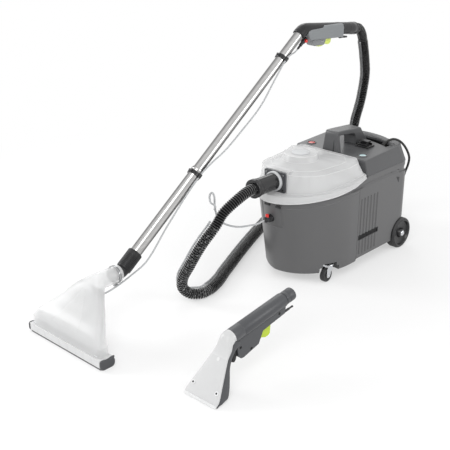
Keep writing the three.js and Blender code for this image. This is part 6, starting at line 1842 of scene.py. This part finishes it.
lever = plate([(1101, 708), (1095.6, 700), (1094, 690), (1097, 687.5), (1108, 686.9), (1119, 687.5),
               (1130, 694.4), (1138, 691.4), (1147, 688.5), (1155, 688.4), (1160, 690), (1165, 695),
               (1166.6, 708), (1150, 711.4), (1133, 714), (1119, 711.4)], 7.3)
rounded(piece("grip_trigger", lever, "wand", LIME, "wand_trigger",
              body="wand_trigger"), 2, 3, 30)
print("housing screws", 2 * len(HOUSING_SCREWS))

# %% Spray coupling under the grip
way = np.array([0, 1008 - 1046, 703 - 731.0])
length = np.linalg.norm(way)
BARREL = [(0, 0), (8.5, 0), (8.5, 0.36), (8, 0.4), (8, 0.46), (8.5, 0.5), (8.5, 0.62), (7, 0.7),
          (5.6, 0.76), (5.5, 1)]
BARBED_TIP = [(3.6, 0), (3.6, 4), (4.2, 5), (3.4, 9), (4.2, 10), (3.2, 14), (3, 18), (0, 18)]
coupler_profile = [(r, length * share) for r, share in BARREL]
coupler_profile += [(r, length + more) for r, more in BARBED_TIP]
coupler = turned(coupler_profile, (0, 1046, 731), way, 48)
piece("grip_coupling", coupler, "wand", BLACK_PLASTIC, "wand_coupling")
low, high = (np.array(corner) * 1000 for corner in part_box("wand_coupling_button"))
middle, tall = (low + high) / 2, high[0] - low[0]
button_line = [(0, 0), (5.5, 0), (5.5, tall - 2), (5, tall - 0.8), (4, tall - 0.2), (0, tall)]
button_part = turned(button_line, (low[0], middle[1], middle[2]), (1, 0, 0), 40)
piece("grip_coupling_button", button_part, None, RED_PLASTIC, "wand_coupling_button",
      body="wand_coupling_button")

# %% [markdown]
# ## The hand tool
# The hand tool has a clear face over a dark curved shell, a slate tube for the hand and a
# housing with its own trigger. Face and shell are skins of rounded sections up the slope;
# the housing is a thick plate like the one on the wand.

# %% Face and shell
SLOPE, INWARD = np.array([0, 0.602, 0.799]), np.array([0, 0.799, -0.602])
HAND_LEAN = math.radians(7.7)
HAND_WAY = np.array([0, math.cos(HAND_LEAN), math.sin(HAND_LEAN)])
STATIONS = [(0, 56, 4, 8.3), (7, 56, 6, 14.5), (14, 56, 8, 23), (24, 54, 8, 33), (34, 51, 8, 43),
            (56, 44.6, 8, 41), (80, 38, 8, 33), (103, 31.6, 8, 25.4), (125, 26, 8, 25),
            (138, 23.4, 8, 27), (150, 22, 8, 30), (161, 22, 8, 34), (172, 22, 8, 38)]


def hand_at(along):
    return np.array([0, 129, 140]) + along * HAND_WAY


def hand_section(up, half, near, far, r=3.0, corner=6):
    """A rounded four-sided section between two depths behind the face."""
    at = np.array([0, 0, 5]) + SLOPE * up
    r = min(r, (far - near) / 2 - 0.1)
    loop = []
    for sx, deep, a0 in ((1, False, -1), (1, True, 0), (-1, True, 1), (-1, False, 2)):
        centre_x, centre_d = sx * (half - r), (far - r if deep else near + r)
        for a in (a0 + np.linspace(0, 1, corner)) * math.pi / 2:
            loop.append(at + INWARD * (centre_d + r * math.sin(a))
                        + np.array([centre_x + r * math.cos(a), 0, 0]))
    return np.array(loop)


hand_rows = finer([(u, h, f, d, 0, 0) for u, h, f, d in STATIONS], 3)
tube_space = round_bar(20.8, 250, hand_at(-19), HAND_WAY)
face_loops = [hand_section(u, h, 0, f) for u, h, f, *_ in hand_rows]
hollow_rows = [(-6, 56, 4, 8.3, 0, 0)] + hand_rows[:-4]
face_inner = [hand_section(u, h - 3, 3, f + 2) for u, h, f, *_ in hollow_rows]
face_thing = make_object("tool_face", *placed_part(skin(face_loops), "hand"), FACE_WHITE, 40)
boolean(face_thing, [cutter("face hollow", skin(face_inner), "hand"),
                     cutter("tube space", tube_space, "hand")])
shell_loops = [hand_section(u, h, f + 0.3, d, 5) for u, h, f, d, *_ in hand_rows]
shell_inner = [hand_section(u, h - 3, f - 3, d - 3, 3) for u, h, f, d, *_ in hollow_rows]
shell_thing = make_object("tool_shell", *placed_part(skin(shell_loops), "hand"), SLATE_PLASTIC, 40)
boolean(shell_thing, [cutter("shell hollow", skin(shell_inner), "hand"),
                      cutter("tube space", tube_space, "hand")])
finish_piece(face_thing, "hand_tool", "hand_nozzle")
finish_piece(shell_thing, "hand_tool", "hand_shell")
throat = [hand_section(*row, 8, 8)
          for row in ((118, 27.6, -0.4, 9), (130, 24.8, -1, 14), (143, 22.4, -3, 20))]
ring_way = [HAND_WAY * 0.55 + SLOPE * 0.45, HAND_WAY * 0.9 + SLOPE * 0.1, HAND_WAY, HAND_WAY]
for (y, z), way, radius in zip(((99, 131.5), (104, 134.4), (109, 136.6), (115, 137.8)), ring_way,
                               (21.2, 21.5, 21.4, 21.2)):
    across = np.array([1, 0, 0])
    over = np.cross(way / np.linalg.norm(way), across)
    quarter = np.linspace(0.02, 0.98, 8)
    angles = [a for corner in (-1, 0, 1, 2) for a in (corner + quarter) * math.pi / 2]
    loop = [np.array([0, y, z]) + radius * (math.cos(a) * across + math.sin(a) * over)
            for a in angles]
    throat.append(np.array(loop))
disc = turned([(0, 0), (5, 0), (5, 0.4), (0, 0.7)], np.array([2, 0, 5]) + SLOPE * 112, -INWARD, 32)
piece("tool_throat", joined_parts(skin(throat), disc), "hand", FACE_WHITE,
      sharp_angle=50)
bosses, screws = [], []
for x in (-41, 41):
    spot = np.array([x, 0, 5]) + SLOPE * 33
    bosses.append(turned([(0, 0), (6, 0), (6, 0.8), (5.4, 1.4), (0, 1.4)], spot, -INWARD, 32))
    screws.append(screw(2.8, 1, spot - INWARD * 1.3, -INWARD)[0])
bosses.append(box_points(-55.6, 55.6, -1.6, 2.2, 2.8, 8))
piece("tool_face_trim", joined_parts(*bosses), "hand", TUB_WHITE)
piece("tool_face_screws", joined_parts(*screws), "hand", BLACK_PLASTIC)
print("tool sections", len(hand_rows))

# %% Tube, housing and trigger
tube = turned([(15, -18), (20.5, -18), (20.5, 20), (20, 21), (20, 23), (20.5, 24), (20.5, 190),
               (20.1, 192.4), (19, 193), (17.1, 193), (17.1, 196), (18.2, 196), (18.6, 197),
               (18.6, 205), (18, 206), (18, 208), (18.6, 209), (18.6, 229), (18, 231), (15, 231),
               (15, -18)], hand_at(0), HAND_WAY, 72)
piece("tool_tube", tube, "hand", SLATE_PLASTIC, "hand_tube")
body = plate([(124, 132), (128, 88), (132, 76), (140, 69), (150, 68), (209, 83), (226, 116),
              (315, 132), (320, 160), (220, 150), (128, 138)], 15)
housing = make_object("tool_housing", *placed_part(body, "hand"), SLATE_PLASTIC)
hand_space = skin([hand_section(u, h, -4, d + 0.3) for u, h, f, d, *_ in hand_rows])
lever_slot = plate([(197, 60), (192, 104), (222, 128), (268, 132), (268, 60)], 8.1)
boolean(housing, [cutter("tube space", tube_space, "hand"),
                  cutter("shell space", hand_space, "hand"),
                  cutter("trigger slot", lever_slot, "hand")])
rounded(housing, 1.8, 3, 35)
finish_piece(housing, "hand_tool", "hand_housing")
for number, (y, z) in enumerate(((138, 102), (180, 82), (292, 140))):
    for side in SIDES:
        head, _ = screw(4.2, 1.2, (side * 14.8, y, z), (side, 0, 0))
        name = f"tool_screw_{number}_{'left' if side > 0 else 'right'}"
        # The tool's screw heads are painted with the shade black, so that they show as dark spots.
        piece(name, head, "hand", SHADE_BLACK)
way = np.array([0, 122 - 134, 62 - 112.0])
length = np.linalg.norm(way)
TAIL = [(0, 0), (8.5, 0), (8.5, 0.5), (7.8, 0.56), (7.8, 0.64), (8.5, 0.7), (8.5, 0.86), (6.5, 1),
        (0, 1)]
HOOK = [(0, 0), (3.5, 0), (3.4, 20), (2.4, 22), (2.4, 30), (3.2, 31), (2.4, 34), (0, 34)]
tail = [turned([(r, length * share) for r, share in TAIL], (0, 134, 112), way, 40),
        turned(HOOK, (10, 314, 133), (0.2, 0.9, 0.3), 24)]
piece("tool_coupling", joined_parts(*tail), "hand", BLACK_PLASTIC)
lever = plate([(200, 98), (196, 78), (199, 74.6), (207, 74), (210, 78), (219, 84), (228, 90),
               (236, 87.6), (244, 84), (252, 84.4), (259, 86), (264, 91), (266, 115), (226, 116.4),
               (214, 108)], 7.3)
rounded(piece("tool_trigger", lever, "hand", LIME_DARK, "hand_trigger",
              body="hand_trigger"), 1.8, 3, 30)
